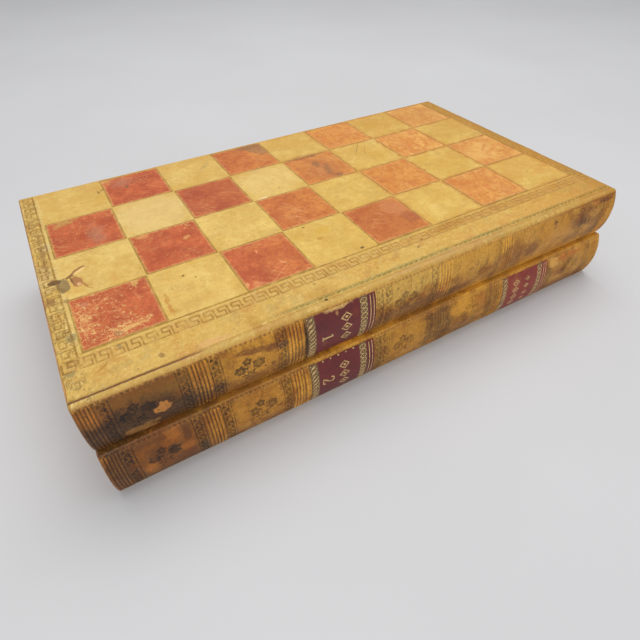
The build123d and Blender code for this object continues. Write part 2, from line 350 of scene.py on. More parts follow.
# %% Group: scratches
def build_scratch_group():
    """Long thin marks that run one way, broken up so that they come and go."""
    r, source, target = new_effect("Scratches", {"Turn": 0.8, "Spacing": 2.5, "Amount": 0.5}, ["Mask"])
    turned = r.turned(source["Place"], source["Turn"])
    wobble = r.noise(turned, 0.03, 2.0, output=1)
    bent = r.vector("ADD", turned, r.vector("MULTIPLY", wobble, (7.0, 7.0, 0.0)))
    stretched = r.vector("MULTIPLY", bent, (0.045, 1.0, 0.6))
    lines = r.noise(stretched, r.math("DIVIDE", 1.0, source["Spacing"]), 2.5, 0.6)
    thin = r.ramp(r.away(lines, 0.5), 0.02, 0.004)
    clumps = r.noise(source["Place"], 0.05, 3.0)
    shown = r.ramp(r.plus(clumps, source["Amount"]), 0.85, 1.1)
    r.feed(target["Mask"], r.times(thin, shown))


def scratch_mask(r, place, turn, spacing, amount):
    values = {"Place": place, "Turn": turn, "Spacing": spacing, "Amount": amount}
    return r.group("Scratches", values)["Mask"]


build_scratch_group()


# %% Group: specks
def build_speck_group():
    """Small dark spots of odd sizes, thinly scattered."""
    r, source, target = new_effect("Specks", {"Spacing": 14.0, "Size": 0.07}, ["Mask"])
    wobble = r.vector("MULTIPLY", r.noise(source["Place"], 0.6, 2.0, output=1), (1.6, 1.6, 1.6))
    place = r.vector("ADD", source["Place"], wobble)
    scale = r.math("DIVIDE", 1.0, source["Spacing"])
    cells = r.add("ShaderNodeTexVoronoi", {"Vector": place, "Scale": scale}, feature="F1")
    tone = r.add("ShaderNodeSeparateColor", {0: cells.outputs["Color"]}).outputs[0]
    reach = r.times(source["Size"], r.math("POWER", tone, 3.0))
    inside = r.less(reach, cells.outputs["Distance"])
    r.feed(target["Mask"], r.ramp(inside, -0.008, 0.012))


def speck_mask(r, place, spacing, size):
    return r.group("Specks", {"Place": place, "Spacing": spacing, "Size": size})["Mask"]


build_speck_group()


# %% Group: patch
def build_patch_group():
    """One ragged patch: 1 inside a turned oval at Centre, with an edge torn by noise."""
    sockets = {
        "Torn": 0.5, "Centre": (0.0, 0.0, 0.0), "Reach": (10.0, 10.0, 10.0),
        "Turn": 0.0, "Ragged": 0.5, "Soft": 0.1,
    }
    r, source, target = new_effect("Patch", sockets, ["Mask"])
    offset = r.vector("SUBTRACT", source["Place"], source["Centre"])
    scaled = r.vector("DIVIDE", r.turned(offset, source["Turn"]), source["Reach"])
    length = r.add("ShaderNodeVectorMath", {0: scaled}, operation="LENGTH").outputs["Value"]
    torn = r.times(r.less(source["Torn"], 0.5), source["Ragged"])
    edge = r.plus(length, r.times(torn, 4.0))
    low = r.less(1.0, source["Soft"])
    r.feed(target["Mask"], r.ramp(edge, r.plus(source["Soft"], 1.0), low))


build_patch_group()
print("effects", [group.name for group in bpy.data.node_groups])


# %% Laying marks
MARK_DEPTH = 20.0


def read_marks(table):
    """Marks from a table with one mark to a line, in mm from an origin: place along, place across or
    up, reach along, reach across or up, turn in degrees, softness, raggedness, strength, and red,
    green and blue as on a screen. A line that starts with # says what follows."""
    rows = [line.split() for line in table.strip().splitlines() if not line.startswith("#")]
    return [[float(value) for value in row] for row in rows]


def torn_edges(r, place):
    """The noise that makes the outlines of marks ragged."""
    return r.noise(place, 0.16, 8.0, 0.72)


def lay_marks(r, place, torn, colour, marks, origin, upright=False):
    """Lays single marks one after another."""
    for a, b, reach_a, reach_b, turn, soft, ragged, strength, *stain in marks:
        shift, reach = (a, b, 0.0), (reach_a, reach_b, MARK_DEPTH)
        if upright:
            shift, reach = (a, 0.0, b), (reach_a, 2 * MARK_DEPTH, reach_b)
        centre = [o + s for o, s in zip(origin, shift)]
        values = {"Turn": -math.radians(turn), "Ragged": ragged, "Soft": soft}
        oval = {"Place": place, "Torn": torn, "Centre": centre, "Reach": reach}
        mask = r.group("Patch", {**oval, **values})["Mask"]
        colour = r.lay(colour, stain, mask, strength)
    return colour


def lay_worn_marks(r, place, torn, colour, marks, origin, upright=False, thin=0.45):
    """The same marks, rubbed thin in places so that the leather shows through them."""
    marked = lay_marks(r, place, torn, colour, marks, origin, upright)
    rubbed = r.ramp(r.noise(place, 0.7, 6.0, 0.8), 0.4, 0.58)
    return r.mix(r.spread(rubbed, thin, 1.0), colour, marked)


# %% Starting and finishing a material
# the materials made here by name, because the CAD model's plain ones have some of the same names
LOOKS = {}


def new_material(name):
    """Starts a node material. Returns its recipe and its place in mm."""
    material = LOOKS[name] = bpy.data.materials.new(name)
    material.use_nodes = True
    r = Recipe(material.node_tree)
    r.material, r.shader = material, material.node_tree.nodes["Principled BSDF"]
    place = r.scale(r.add("ShaderNodeTexCoord").outputs["Object"], 1 / MM)
    r.shader.inputs["Specular IOR Level"].default_value = 0.32
    return r, place


def finish_material(r, colour, roughness, height, strength, distance):
    """Feeds the shader and gives the material. Distance is the depth of the relief in mm."""
    r.feed(r.shader.inputs["Base Color"], colour)
    r.feed(r.shader.inputs["Roughness"], roughness)
    bump = r.add("ShaderNodeBump", {"Height": height, "Strength": strength, "Distance": distance * MM})
    r.feed(r.shader.inputs["Normal"], bump.outputs[0])
    return r.material


# %% Floor
def build_floor():
    """A wide plain floor, so that its far edge stays out of the picture."""
    mesh = bpy.data.meshes.new("floor")
    mesh.from_pydata([(-3, -3, 0), (3, -3, 0), (3, 4, 0), (-3, 4, 0)], [], [(0, 1, 2, 3)])
    floor = bpy.data.objects.new("floor", mesh)
    bpy.context.collection.objects.link(floor)
    r, place = new_material("pale_floor")
    uneven = r.noise(place, 0.004, 3.0, 0.5)
    colour = r.mix(uneven, (200, 200, 202), (210, 211, 214))
    roughness = r.spread(uneven, 0.55, 0.7)
    mesh.materials.append(finish_material(r, colour, roughness, r.noise(place, 0.6, 2.0), 0.1, 0.1))
    return floor


floor = build_floor()
print("floor", tuple(round(d, 1) for d in floor.dimensions))

# %% [markdown]
# ## Buff leather
#
# The board and its border are calf, left in its own buff colour. A century of hands and lamp
# smoke has mottled it, browned its rims, and left specks, scratches and one torn place. The look
# is a group, because the ink of the border needs the same leather under it: where the ink has
# worn off, its colour has to be exactly that of the leather beside it.

# %% Group: chess lattice
HALF_LENGTH = upper.half_length / MM
GRID_X = upper.grid_x / MM
GRID_Y = upper.grid_y / MM
PIN_Z = (upper.middle_z + lower.middle_z) / 2 / MM
FACE_Z = upper.face_z / MM
SQUARE_MM = SQUARE / MM
FACE_CORNER = (GRID_X, GRID_Y, FACE_Z)
SPINE_CORNER = (GRID_X, -112.0, 0.0)


def build_lattice_group():
    """How far a place is from the nearest line of the chess grid, and a random tone per square."""
    r, source, target = new_effect("Chess lattice", {"Seed": 1.0}, ["Edge", "Tone", "Board"])
    shifted = r.vector("SUBTRACT", source["Place"], (GRID_X, GRID_Y - 0.5, 0.0))
    cells = r.vector("DIVIDE", shifted, (SQUARE_MM, SQUARE_MM, 1000.0))
    part = r.vector("FRACTION", cells)
    u, v = r.split(part)[:2]
    near_u = r.math("MINIMUM", u, r.less(1.0, u))
    near_v = r.math("MINIMUM", v, r.less(1.0, v))
    r.feed(target["Edge"], r.times(r.math("MINIMUM", near_u, near_v), SQUARE_MM))
    seed = r.xyz(z=source["Seed"])
    whole = r.vector("MULTIPLY", r.vector("FLOOR", cells), (1.0, 1.0, 0.0))
    number = r.vector("ADD", whole, seed)
    random = r.add("ShaderNodeTexWhiteNoise", {"Vector": number}, noise_dimensions="3D")
    r.feed(target["Tone"], random.outputs["Value"])
    x, y = r.split(source["Place"])[:2]
    inside_x = r.ramp(r.math("ABSOLUTE", x), -GRID_X + 1.0, -GRID_X - 1.0)
    r.feed(target["Board"], r.times(inside_x, r.ramp(y, GRID_Y - 1.0, GRID_Y + 1.0)))


build_lattice_group()


# %% Group: buff calf
# marks on the upper chess face, in mm from the front left corner of its board
FACE_MARKS = read_marks("""
# stains on the margin before the board
62.7 -28.1 9.5 2.3 0 0.25 0.6 0.6 222 170 110
88 -27 4 9 0 0.5 0.8 0.5 176 126 40
135 -24 10 5 0 0.6 0.8 0.5 176 126 40
248 -6.6 12 4.4 0 0.5 0.6 0.75 176 126 40
228 -32 46 2.8 0 0.6 0.8 0.45 198 150 96
386 -22 22 12 0 0.8 0.8 0.5 176 126 40
300 -7 90 3.8 0 0.5 0.7 0.42 190 130 50
320 -22 60 5 0 0.8 1 0.35 206 142 60
-7.6 -13.4 2.6 2.2 20 0.2 1 0.75 138 126 84
18.5 -6.4 1.1 2.6 0 0.2 0.6 0.7 138 126 84
6 -17.6 3.2 1 35 0.3 1.2 0.7 176 126 40
36.5 -24.1 1.5 1.8 20 0.3 0.8 0.75 130 92 48
214 -16.1 1.8 0.9 40 0.2 0.5 0.8 140 108 40
221 -10.6 1.8 1 30 0.2 0.5 0.8 158 96 34
133 -30.6 1.3 1.1 40 0.15 0.5 0.9 58 40 8
134.3 -14.1 0.9 0.7 0 0.2 0.3 0.7 130 96 40
177 -21 1.4 1 20 0.2 0.5 0.6 176 126 40
330 -14 7 3 0 0.6 0.8 0.4 190 126 50
# spots and tide marks on the buff squares
67.5 35.2 0.9 0.8 0 0.2 0.3 0.9 58 40 8
158.9 44.2 1.1 0.9 0 0.2 0.4 0.8 58 40 8
162.2 26.5 2.1 1.8 0 0.4 0.5 0.7 176 126 40
181.1 2.5 1.6 1.1 15 0.15 0.5 0.95 58 40 8
170 105.1 0.8 0.7 0 0.2 0.3 0.8 58 40 8
51.6 10.9 1.3 10 0 0.3 1.3 0.75 186 118 44
54.4 4.6 1.9 4.2 0 0.5 1.2 0.5 176 126 40
30 56.9 2.2 5.5 10 0.4 0.9 0.5 206 150 70
180.5 144.2 14 1.5 0 0.4 1 0.7 160 98 42
210 144 16 2.4 0 0.5 1.2 0.6 168 104 44
152 96.2 3.6 1.6 5 0.3 0.6 0.75 244 212 164
140 139 4 3 30 0.5 0.8 0.4 176 126 40
132 172 7 1.6 40 0.6 0.8 0.35 138 126 84
338 122 9 3 50 0.6 1 0.35 176 126 40
300 86 12 5 30 0.7 1 0.3 206 156 40
372 20 10 5 30 0.7 1 0.35 206 146 62
44 172 1.2 3.2 10 0.2 0.8 0.75 120 82 40
47 175 3 1 40 0.3 0.8 0.6 120 82 40
263 133 12 0.5 52 0.3 0.5 0.75 140 110 60
268 128 9 0.4 58 0.3 0.5 0.6 150 118 64
350 33 20 9 35 0.8 1 0.5 206 152 70
378 24 6 2.2 -30 0.5 0.8 0.6 196 138 56
372 120 22 14 20 0.8 1 0.55 194 146 66
376 34 12 20 0 0.9 1 0.4 206 146 58
310 178 20 10 20 0.8 1 0.3 190 136 44
270 70 16 8 40 0.8 1 0.3 206 160 60
150 14 1.2 0.8 0 0.2 0.4 0.6 196 146 56
74 30 0.7 1.4 0 0.2 0.4 0.7 150 110 46
168 34 6 3.6 30 0.6 0.8 0.5 210 168 56
52.6 20 1.2 4.6 12 0.3 1 0.7 190 140 56
242 9 4 7 20 0.5 0.8 0.5 206 158 60
72 120 26 26 0 0.3 0.3 0.4 232 206 146
168 120 26 26 0 0.3 0.3 0.22 232 206 146
# flaked places on the border along the tail end
-7 74 6 15 0 0.5 1 0.35 226 200 140
-6 100 1.6 20 0 0.4 1.5 0.6 142 102 56
-8 51 2.8 5.5 0 0.3 1.1 0.7 148 104 58
-3 14 2.8 3.4 0 0.15 0.9 0.75 138 126 84
0.6 46.9 1.5 3.2 0 0.2 0.9 0.7 140 112 74
-2 112 2.4 4.5 0 0.3 1.2 0.6 210 186 140
""")
# the torn place on the tail end's border and its lifted flaps
TORN_MARKS = read_marks("""
0.9 63.2 3.9 7.5 3 0.1 0.5 1 140 112 62
1.4 64.2 2.6 5.9 3 0.2 0.6 0.8 158 132 80
-3.3 69.3 3.6 2.7 -12 0.15 0.5 1 108 80 50
7.6 72.4 5 1.3 32 0.15 0.4 0.95 134 92 48
11.4 75.6 5.4 2.3 30 0.12 0.35 0.9 150 102 54
12 74.6 4.6 1.35 30 0.15 0.35 1 232 194 124
8.8 63.4 3.3 5.8 14 0.12 0.6 0.95 166 112 64
6.3 66 0.7 4.6 6 0.2 0.5 0.9 126 88 50
9.8 60.4 1.3 2 0 0.2 0.6 0.9 222 170 114
12.8 58.2 0.8 4.2 20 0.15 0.5 0.85 166 116 58
15.4 52.8 2.6 0.5 -42 0.3 0.6 0.7 180 130 62
""")


def build_buff_group():
    """Colour, roughness and height of the buff leather."""
    r, source, target = new_effect("Buff calf", {}, ["Colour", "Roughness", "Height"])
    place = source["Place"]
    surface = calf_surface(r, place, 0.8, 26.0)
    lattice = r.group("Chess lattice", {"Place": place})
    torn = torn_edges(r, place)
    x, y = r.split(place)[:2]
    border = r.less(1.0, lattice["Board"])
    r.colour = r.mix(surface["Mottle"], (210, 170, 76), (238, 203, 104))
    pale = r.ramp(r.plus(x, r.times(y, -0.5)), 110.0, -200.0)
    r.coat((231, 207, 138), pale, 0.42)
    r.coat((222, 182, 84), lattice["Tone"], 0.4)
    far = r.plus(r.times(r.ramp(y, 20.0, 130.0), 0.48), r.times(r.ramp(x, -60.0, 200.0), 0.25))
    r.coat((200, 150, 64), far)
    r.coat((212, 164, 70), surface["Fine"], 0.3)
    blots = r.noise(place, 0.2, 7.0, 0.76)
    r.coat((202, 156, 68), r.ramp(blots, 0.5, 0.66), 0.5)
    r.coat((248, 222, 136), r.ramp(blots, 0.47, 0.36), 0.26)
    clouds = r.noise(place, 0.045, 5.0, 0.62)
    r.coat((210, 162, 60), r.ramp(clouds, 0.5, 0.66), 0.42)
    r.coat((240, 212, 124), r.ramp(clouds, 0.46, 0.34), 0.34)
    freckles = r.ramp(r.noise(place, 0.5, 7.0, 0.85), 0.55, 0.64)
    r.coat((178, 132, 58), freckles, r.spread(border, 0.42, 0.75))
    r.coat((168, 120, 52), r.spread(surface["Speckle"], 0.26, 0.0))
    r.coat((210, 172, 82), border, 0.4)
    r.coat((192, 142, 62), r.ramp(y, GRID_Y + 1.0, GRID_Y - 3.0), 0.22)
    side = r.ramp(r.plus(x, r.times(torn, 6.0)), -GRID_X + 1.0, -GRID_X + 7.0)
    r.coat((176, 122, 38), side, 0.85)
    streaks = r.noise(r.vector("MULTIPLY", place, (1.6, 0.22, 1.0)), 0.35, 7.0, 0.8)
    streaks = r.times(r.ramp(streaks, 0.5, 0.62), side)
    r.coat((146, 110, 44), streaks, 0.55)
    r.coat((196, 138, 38), r.times(border, r.ramp(x, 90.0, 200.0)), 0.6)
    tan = r.times(r.ramp(r.noise(place, 0.07, 7.0, 0.76), 0.5, 0.62), r.spread(border, 0.16, 0.55))
    r.coat((190, 128, 54), tan)
    green = r.ramp(r.noise(r.vector("ADD", place, (300.0, 90.0, 0.0)), 0.08, 7.0, 0.78), 0.51, 0.62)
    r.coat((166, 144, 80), green, r.spread(border, 0.12, 0.42))
    strip = r.ramp(r.away(y, GRID_Y - 8.0), 4.8, 4.0)
    r.coat((196, 150, 74), strip, r.spread(r.ramp(torn, 0.4, 0.56), 0.2, 0.55))
    verdigris = r.ramp(r.away(y, GRID_Y - 27.9), 2.6, 0.8)
    verdigris = r.times(r.times(verdigris, r.ramp(x, -105.0, -70.0)), r.ramp(torn, 0.34, 0.52))
    r.coat(r.mix(r.ramp(x, 60.0, 150.0), (158, 140, 72), (170, 124, 48)), verdigris, 0.72)
    joint = r.times(r.ramp(lattice["Edge"], 3.4, 0.8), r.ramp(torn, 0.4, 0.56))
    joint = r.times(joint, r.times(r.ramp(x, -40.0, 110.0), lattice["Board"]))
    r.coat((194, 128, 50), joint, 0.85)
    grime = r.ramp(r.noise(place, 0.035, 6.0, 0.7), 0.56, 0.76)
    front = r.most(r.ramp(y, GRID_Y - 27.0, GRID_Y - 34.0), r.ramp(x, HALF_LENGTH - 14.0, HALF_LENGTH))
    r.coat((160, 126, 60), r.times(r.plus(grime, front), 0.3))
    tail_border = r.ramp(x, GRID_X + 1.0, GRID_X - 2.0)
    flaked = r.noise(r.vector("MULTIPLY", place, (1.0, 0.3, 1.0)), 0.45, 5.0, 0.8)
    cracks = r.ramp(r.away(flaked, 0.5), 0.045, 0.012)
    cracks = r.times(r.times(cracks, tail_border), r.ramp(blots, 0.4, 0.56))
    r.coat((110, 84, 48), cracks, 0.7)
    chips = r.times(r.ramp(flaked, 0.54, 0.62), tail_border)
    r.coat((234, 206, 136), chips, 0.62)
    pale_rule = r.times(r.ramp(r.away(x, GRID_X - 0.5), 1.5, 1.0), r.ramp(flaked, 0.38, 0.5))
    pale_rule = r.times(pale_rule, r.ramp(y, GRID_Y - 2.0, GRID_Y + 1.0))
    r.coat((226, 196, 120), pale_rule, 0.6)
    rubbed = r.noise(place, 0.33, 7.0, 0.8)
    r.coat((184, 138, 58), r.times(border, r.ramp(rubbed, 0.52, 0.6)), 0.42)
    rubbed = r.times(r.ramp(rubbed, 0.46, 0.39), r.less(border, side))
    r.coat((242, 212, 138), rubbed, 0.4)
    marks = scratch_mask(r, place, -0.8, 2.2, 0.47)
    r.coat(r.mix(torn, (150, 108, 40), (250, 224, 146)), marks, r.spread(border, 0.38, 0.62))
    crumbs = speck_mask(r, place, 6.0, 0.13)
    r.coat((146, 96, 44), crumbs, 0.5)
    r.colour = lay_worn_marks(r, place, torn, r.colour, FACE_MARKS, FACE_CORNER, thin=0.7)
    r.colour = lay_marks(r, place, torn, r.colour, TORN_MARKS, FACE_CORNER)
    hole = (GRID_X, GRID_Y + 65.0, FACE_Z)
    oval = {"Place": place, "Torn": torn, "Centre": hole, "Reach": (3.4, 7.0, MARK_DEPTH), "Ragged": 1.0}
    hollow = r.most(r.group("Patch", oval)["Mask"], r.times(r.most(cracks, chips), 0.5))
    height = r.less(surface["Height"], r.times(hollow, 3.0))
    height = r.plus(height, r.times(blots, 2.4))
    r.feed(target["Height"], r.less(height, r.times(marks, 0.8)))
    r.feed(target["Colour"], r.colour)
    r.feed(target["Roughness"], r.spread(surface["Mottle"], 0.62, 0.46))


build_buff_group()


# %% Materials: buff calf and border ink
def build_buff_calf():
    r, place = new_material("buff_calf")
    look = r.group("Buff calf", {"Place": place})
    return finish_material(r, look["Colour"], look["Roughness"], look["Height"], 0.5, 0.12)


def build_blind_ink(name, stroke, low, high, left, right, fade_from, fade_to):
    """Blind tooling: a heated tool leaves a brown line. It comes and goes between low and high, and
    its strength changes from left to right between two places along the case."""
    r, place = new_material(name)
    look = r.group("Buff calf", {"Place": place})
    x = r.split(place)[0]
    broken = r.ramp(r.noise(place, 0.11, 6.0, 0.75), 0.36, 0.6)
    fade = r.spread(r.ramp(x, fade_from, fade_to), left, right)
    shown = r.times(r.spread(broken, low, high), fade)
    colour = r.mix(shown, look["Colour"], stroke)
    return finish_material(r, colour, look["Roughness"], look["Height"], 0.4, 0.1)


build_buff_calf()
build_blind_ink("key_ink", (136, 92, 10), 0.25, 1.0, 0.72, 0.55, -110.0, 60.0)
build_blind_ink("rule_ink", (140, 100, 14), 0.5, 1.0, 0.8, 0.74, -50.0, 150.0)
build_blind_ink("roll_ink", (126, 106, 30), 0.2, 0.9, 0.06, 0.8, -120.0, -60.0)
print("made", list(LOOKS))

# %% [markdown]
# ## Red squares
#
# The dark squares are thin pieces of red calf, pared and pasted on. They are brick red at the
# tail end and have bleached to orange at the head, where light fell on them. Their edges are
# rubbed back to buff, and pale scratches run across them. The lattice group tells the material
# how near an edge it is, so no picture or UV map is needed.


# %% Material: red calf
# marks on the red squares of the upper face, in mm from the front left corner of the board
RED_MARKS = read_marks("""
# squares that are darker than the rest
216 24 25 25 0 0.15 0.1 0.55 168 80 32
120 120 25 25 0 0.15 0.1 0.4 152 66 38
360 168 26 26 0 0.2 0.2 0.4 180 116 46
360 72 26 26 0 0.2 0.2 0.25 196 136 60
216 126 3.6 4.6 8 0.5 0.8 0.9 98 76 52
220 112 3.4 9.5 -14 0.6 0.9 0.8 98 76 52
223 99 3 4 0 0.6 0.9 0.8 98 76 52
84 76 3 1.4 30 0.5 1.2 0.6 232 178 100
58 92 5 2 10 0.5 1.4 0.6 228 172 96
186 180 8.5 14 25 0.3 0.5 0.85 150 112 68
176 188 12 4 0 0.6 0.8 0.7 132 92 54
218 118 15 22 0 0.8 0.8 0.5 176 112 66
214 142 17 2.2 0 0.5 1.2 0.8 124 76 42
229.5 34 9 10.5 0 0.2 0.35 0.55 206 132 84
234 17 7 7 40 0.2 0.5 0.6 158 82 48
65 180 8 6 20 0.8 0.8 0.55 168 120 96
66 171 1.6 2.6 0 0.4 0.8 0.7 98 76 52
52 187 4.5 3.5 0 0.4 1 0.6 214 176 92
12 139 7 3.4 15 0.25 1 0.8 186 152 74
31 112 4.5 12 0 0.8 1 0.5 172 132 104
29 6.4 5.5 1.3 5 0.4 1.4 0.75 230 188 106
20.5 4.4 1.8 2 20 0.3 0.8 0.7 150 132 84
39.5 43.5 1.8 2.6 0 0.4 1 0.8 214 170 92
16 35 8.5 0.45 38 0.5 0.8 0.7 224 156 92
8.5 38 2.2 2.8 0 0.7 0.8 0.5 190 140 106
6.5 25 1.2 3.4 30 0.4 1 0.7 230 180 108
4.4 14 0.7 6 8 0.4 0.8 0.6 224 166 100
24.5 26 0.6 11 14 0.5 1.2 0.4 216 132 84
38 30 0.8 5 10 0.5 1 0.45 222 140 90
118 35 0.7 1.9 -12 0.3 0.4 0.8 240 162 104
128 16 2.6 0.9 -48 0.3 0.8 0.8 238 172 104
98.5 5.5 1.2 2.6 -25 0.4 1 0.7 232 170 104
104 4 2 3 0 0.6 1.2 0.5 226 150 92
120 5 9 0.5 38 0.4 0.8 0.5 228 150 92
354 70 14 10 30 0.8 1.2 0.6 232 186 104
364 68 9 1.6 20 0.5 1.2 0.7 206 126 50
360 74 7 1.2 40 0.5 1.2 0.6 196 112 44
360 166 18 7 10 0.8 1 0.45 192 130 62
312 122 9 7 0 0.8 0.8 0.4 204 116 42
304 20 16 1.6 0 0.6 1 0.4 230 148 84
""")
# where the red has flaked most, in white, which stands for a mask
FLAKED = read_marks("""
20 24 25 25 0 0.5 0.5 0.3 255 255 255
6 24 5 18 5 0.6 0.8 0.45 255 255 255
30 7 15 5.5 4 0.6 0.8 0.55 255 255 255
39 43 4 4 0 0.6 0.8 0.5 255 255 255
60 140 30 8 10 0.7 0.8 0.25 255 255 255
66 78 20 20 0 0.8 0.8 0.2 255 255 255
86 92 6 12 20 0.7 0.9 0.35 255 255 255
110 6 20 5 0 0.7 0.9 0.25 255 255 255
70 178 20 12 0 0.7 0.9 0.25 255 255 255
""")


def build_red_calf():
    """Brick red at the tail end, orange and peach where it has bleached, worn back to buff in flecks."""
    r, place = new_material("red_calf")
    surface = calf_surface(r, place, 0.7, 15.0)
    lattice = r.group("Chess lattice", {"Place": place})
    torn = torn_edges(r, place)
    x, y = r.split(place)[:2]
    brick = r.mix(surface["Mottle"], (176, 74, 36), (208, 104, 54))
    orange = r.mix(surface["Mottle"], (202, 120, 40), (224, 154, 64))
    peach = r.mix(surface["Mottle"], (222, 164, 74), (236, 184, 96))
    bleached = r.plus(r.plus(r.times(x, 0.003), 0.3), r.times(lattice["Tone"], 0.2))
    bleached = r.plus(bleached, r.spread(surface["Fine"], -0.05, 0.05))
    r.colour = r.mix(r.ramp(bleached, 0.05, 0.55), brick, orange)
    r.coat(peach, r.ramp(bleached, 0.6, 1.0))
    blots = r.noise(place, 0.24, 7.0, 0.78)
    light = r.ramp(bleached, 0.3, 0.8)
    shade = r.mix(r.ramp(bleached, 0.3, 0.9), (158, 70, 34), (206, 130, 62))
    r.coat(shade, r.ramp(blots, 0.5, 0.62), 0.55)
    r.coat(r.mix(light, (226, 142, 84), (240, 184, 104)), r.ramp(blots, 0.47, 0.36), 0.42)
    r.coat(shade, r.spread(surface["Speckle"], 0.35, 0.0))
    brushed = r.noise(r.vector("MULTIPLY", place, (1.0, 0.5, 1.0)), 0.26, 7.0, 0.8)
    r.coat((200, 118, 46), r.times(r.ramp(brushed, 0.49, 0.58), light), 0.72)
    r.coat((236, 190, 100), r.times(r.ramp(brushed, 0.47, 0.39), light), 0.55)
    rim = r.ramp(r.plus(lattice["Edge"], r.times(torn, 5.0)), 5.6, 3.4)
    r.coat((214, 122, 70), rim, 0.18)
    r.coat((120, 70, 38), r.ramp(lattice["Edge"], 2.1, 1.1), 0.4)
    torn_edge = r.plus(lattice["Edge"], r.times(r.noise(place, 0.3, 5.0, 0.7), -7.0))
    r.coat((224, 168, 96), r.ramp(torn_edge, -0.6, -2.6), 0.5)
    r.colour = lay_worn_marks(r, place, torn, r.colour, RED_MARKS, FACE_CORNER, thin=0.6)
    long_marks = scratch_mask(r, place, 0.75, 2.6, 0.4)
    cross_marks = scratch_mask(r, place, -0.6, 1.7, 0.36)
    marks = r.most(long_marks, cross_marks)
    r.coat((230, 172, 104), marks, 0.55)
    worn = r.most(r.ramp(r.noise(place, 0.04, 3.0, 0.6), 0.42, 0.66), r.ramp(lattice["Edge"], 6.0, 1.5))
    worn = r.most(worn, r.ramp(x, -120.0, -175.0))
    flaked = lay_marks(r, place, torn, (0.0, 0.0, 0.0, 1.0), FLAKED, FACE_CORNER)
    fleck_line = r.less(r.spread(worn, 0.68, 0.6), r.times(flaked, 0.13))
    flecks = r.ramp(r.noise(place, 0.45, 6.0, 0.8), fleck_line, r.plus(fleck_line, 0.04))
    crumbs = r.ramp(r.noise(place, 1.1, 4.0, 0.8), r.plus(fleck_line, 0.02), r.plus(fleck_line, 0.06))
    flecks = r.most(flecks, crumbs)
    r.coat((236, 190, 118), flecks, 0.8)
    height = r.less(surface["Height"], r.times(r.most(marks, flecks), 1.2))
    height = r.plus(height, r.times(blots, 2.0))
    return finish_material(r, r.colour, r.spread(surface["Fine"], 0.4, 0.58), height, 0.5, 0.12)


print("made", build_red_calf().name)

# %% [markdown]
# ## Spine leather
#
# The spines are the same calf stained brown, and they show their age most: nearly black at the
# lower tail end, rubbed to gold in the middle, with torn places where pale flesh shows. Such
# marks have places of their own, so they are listed, each with its middle, its reach and its
# colour, and the recipe lays them one after another.

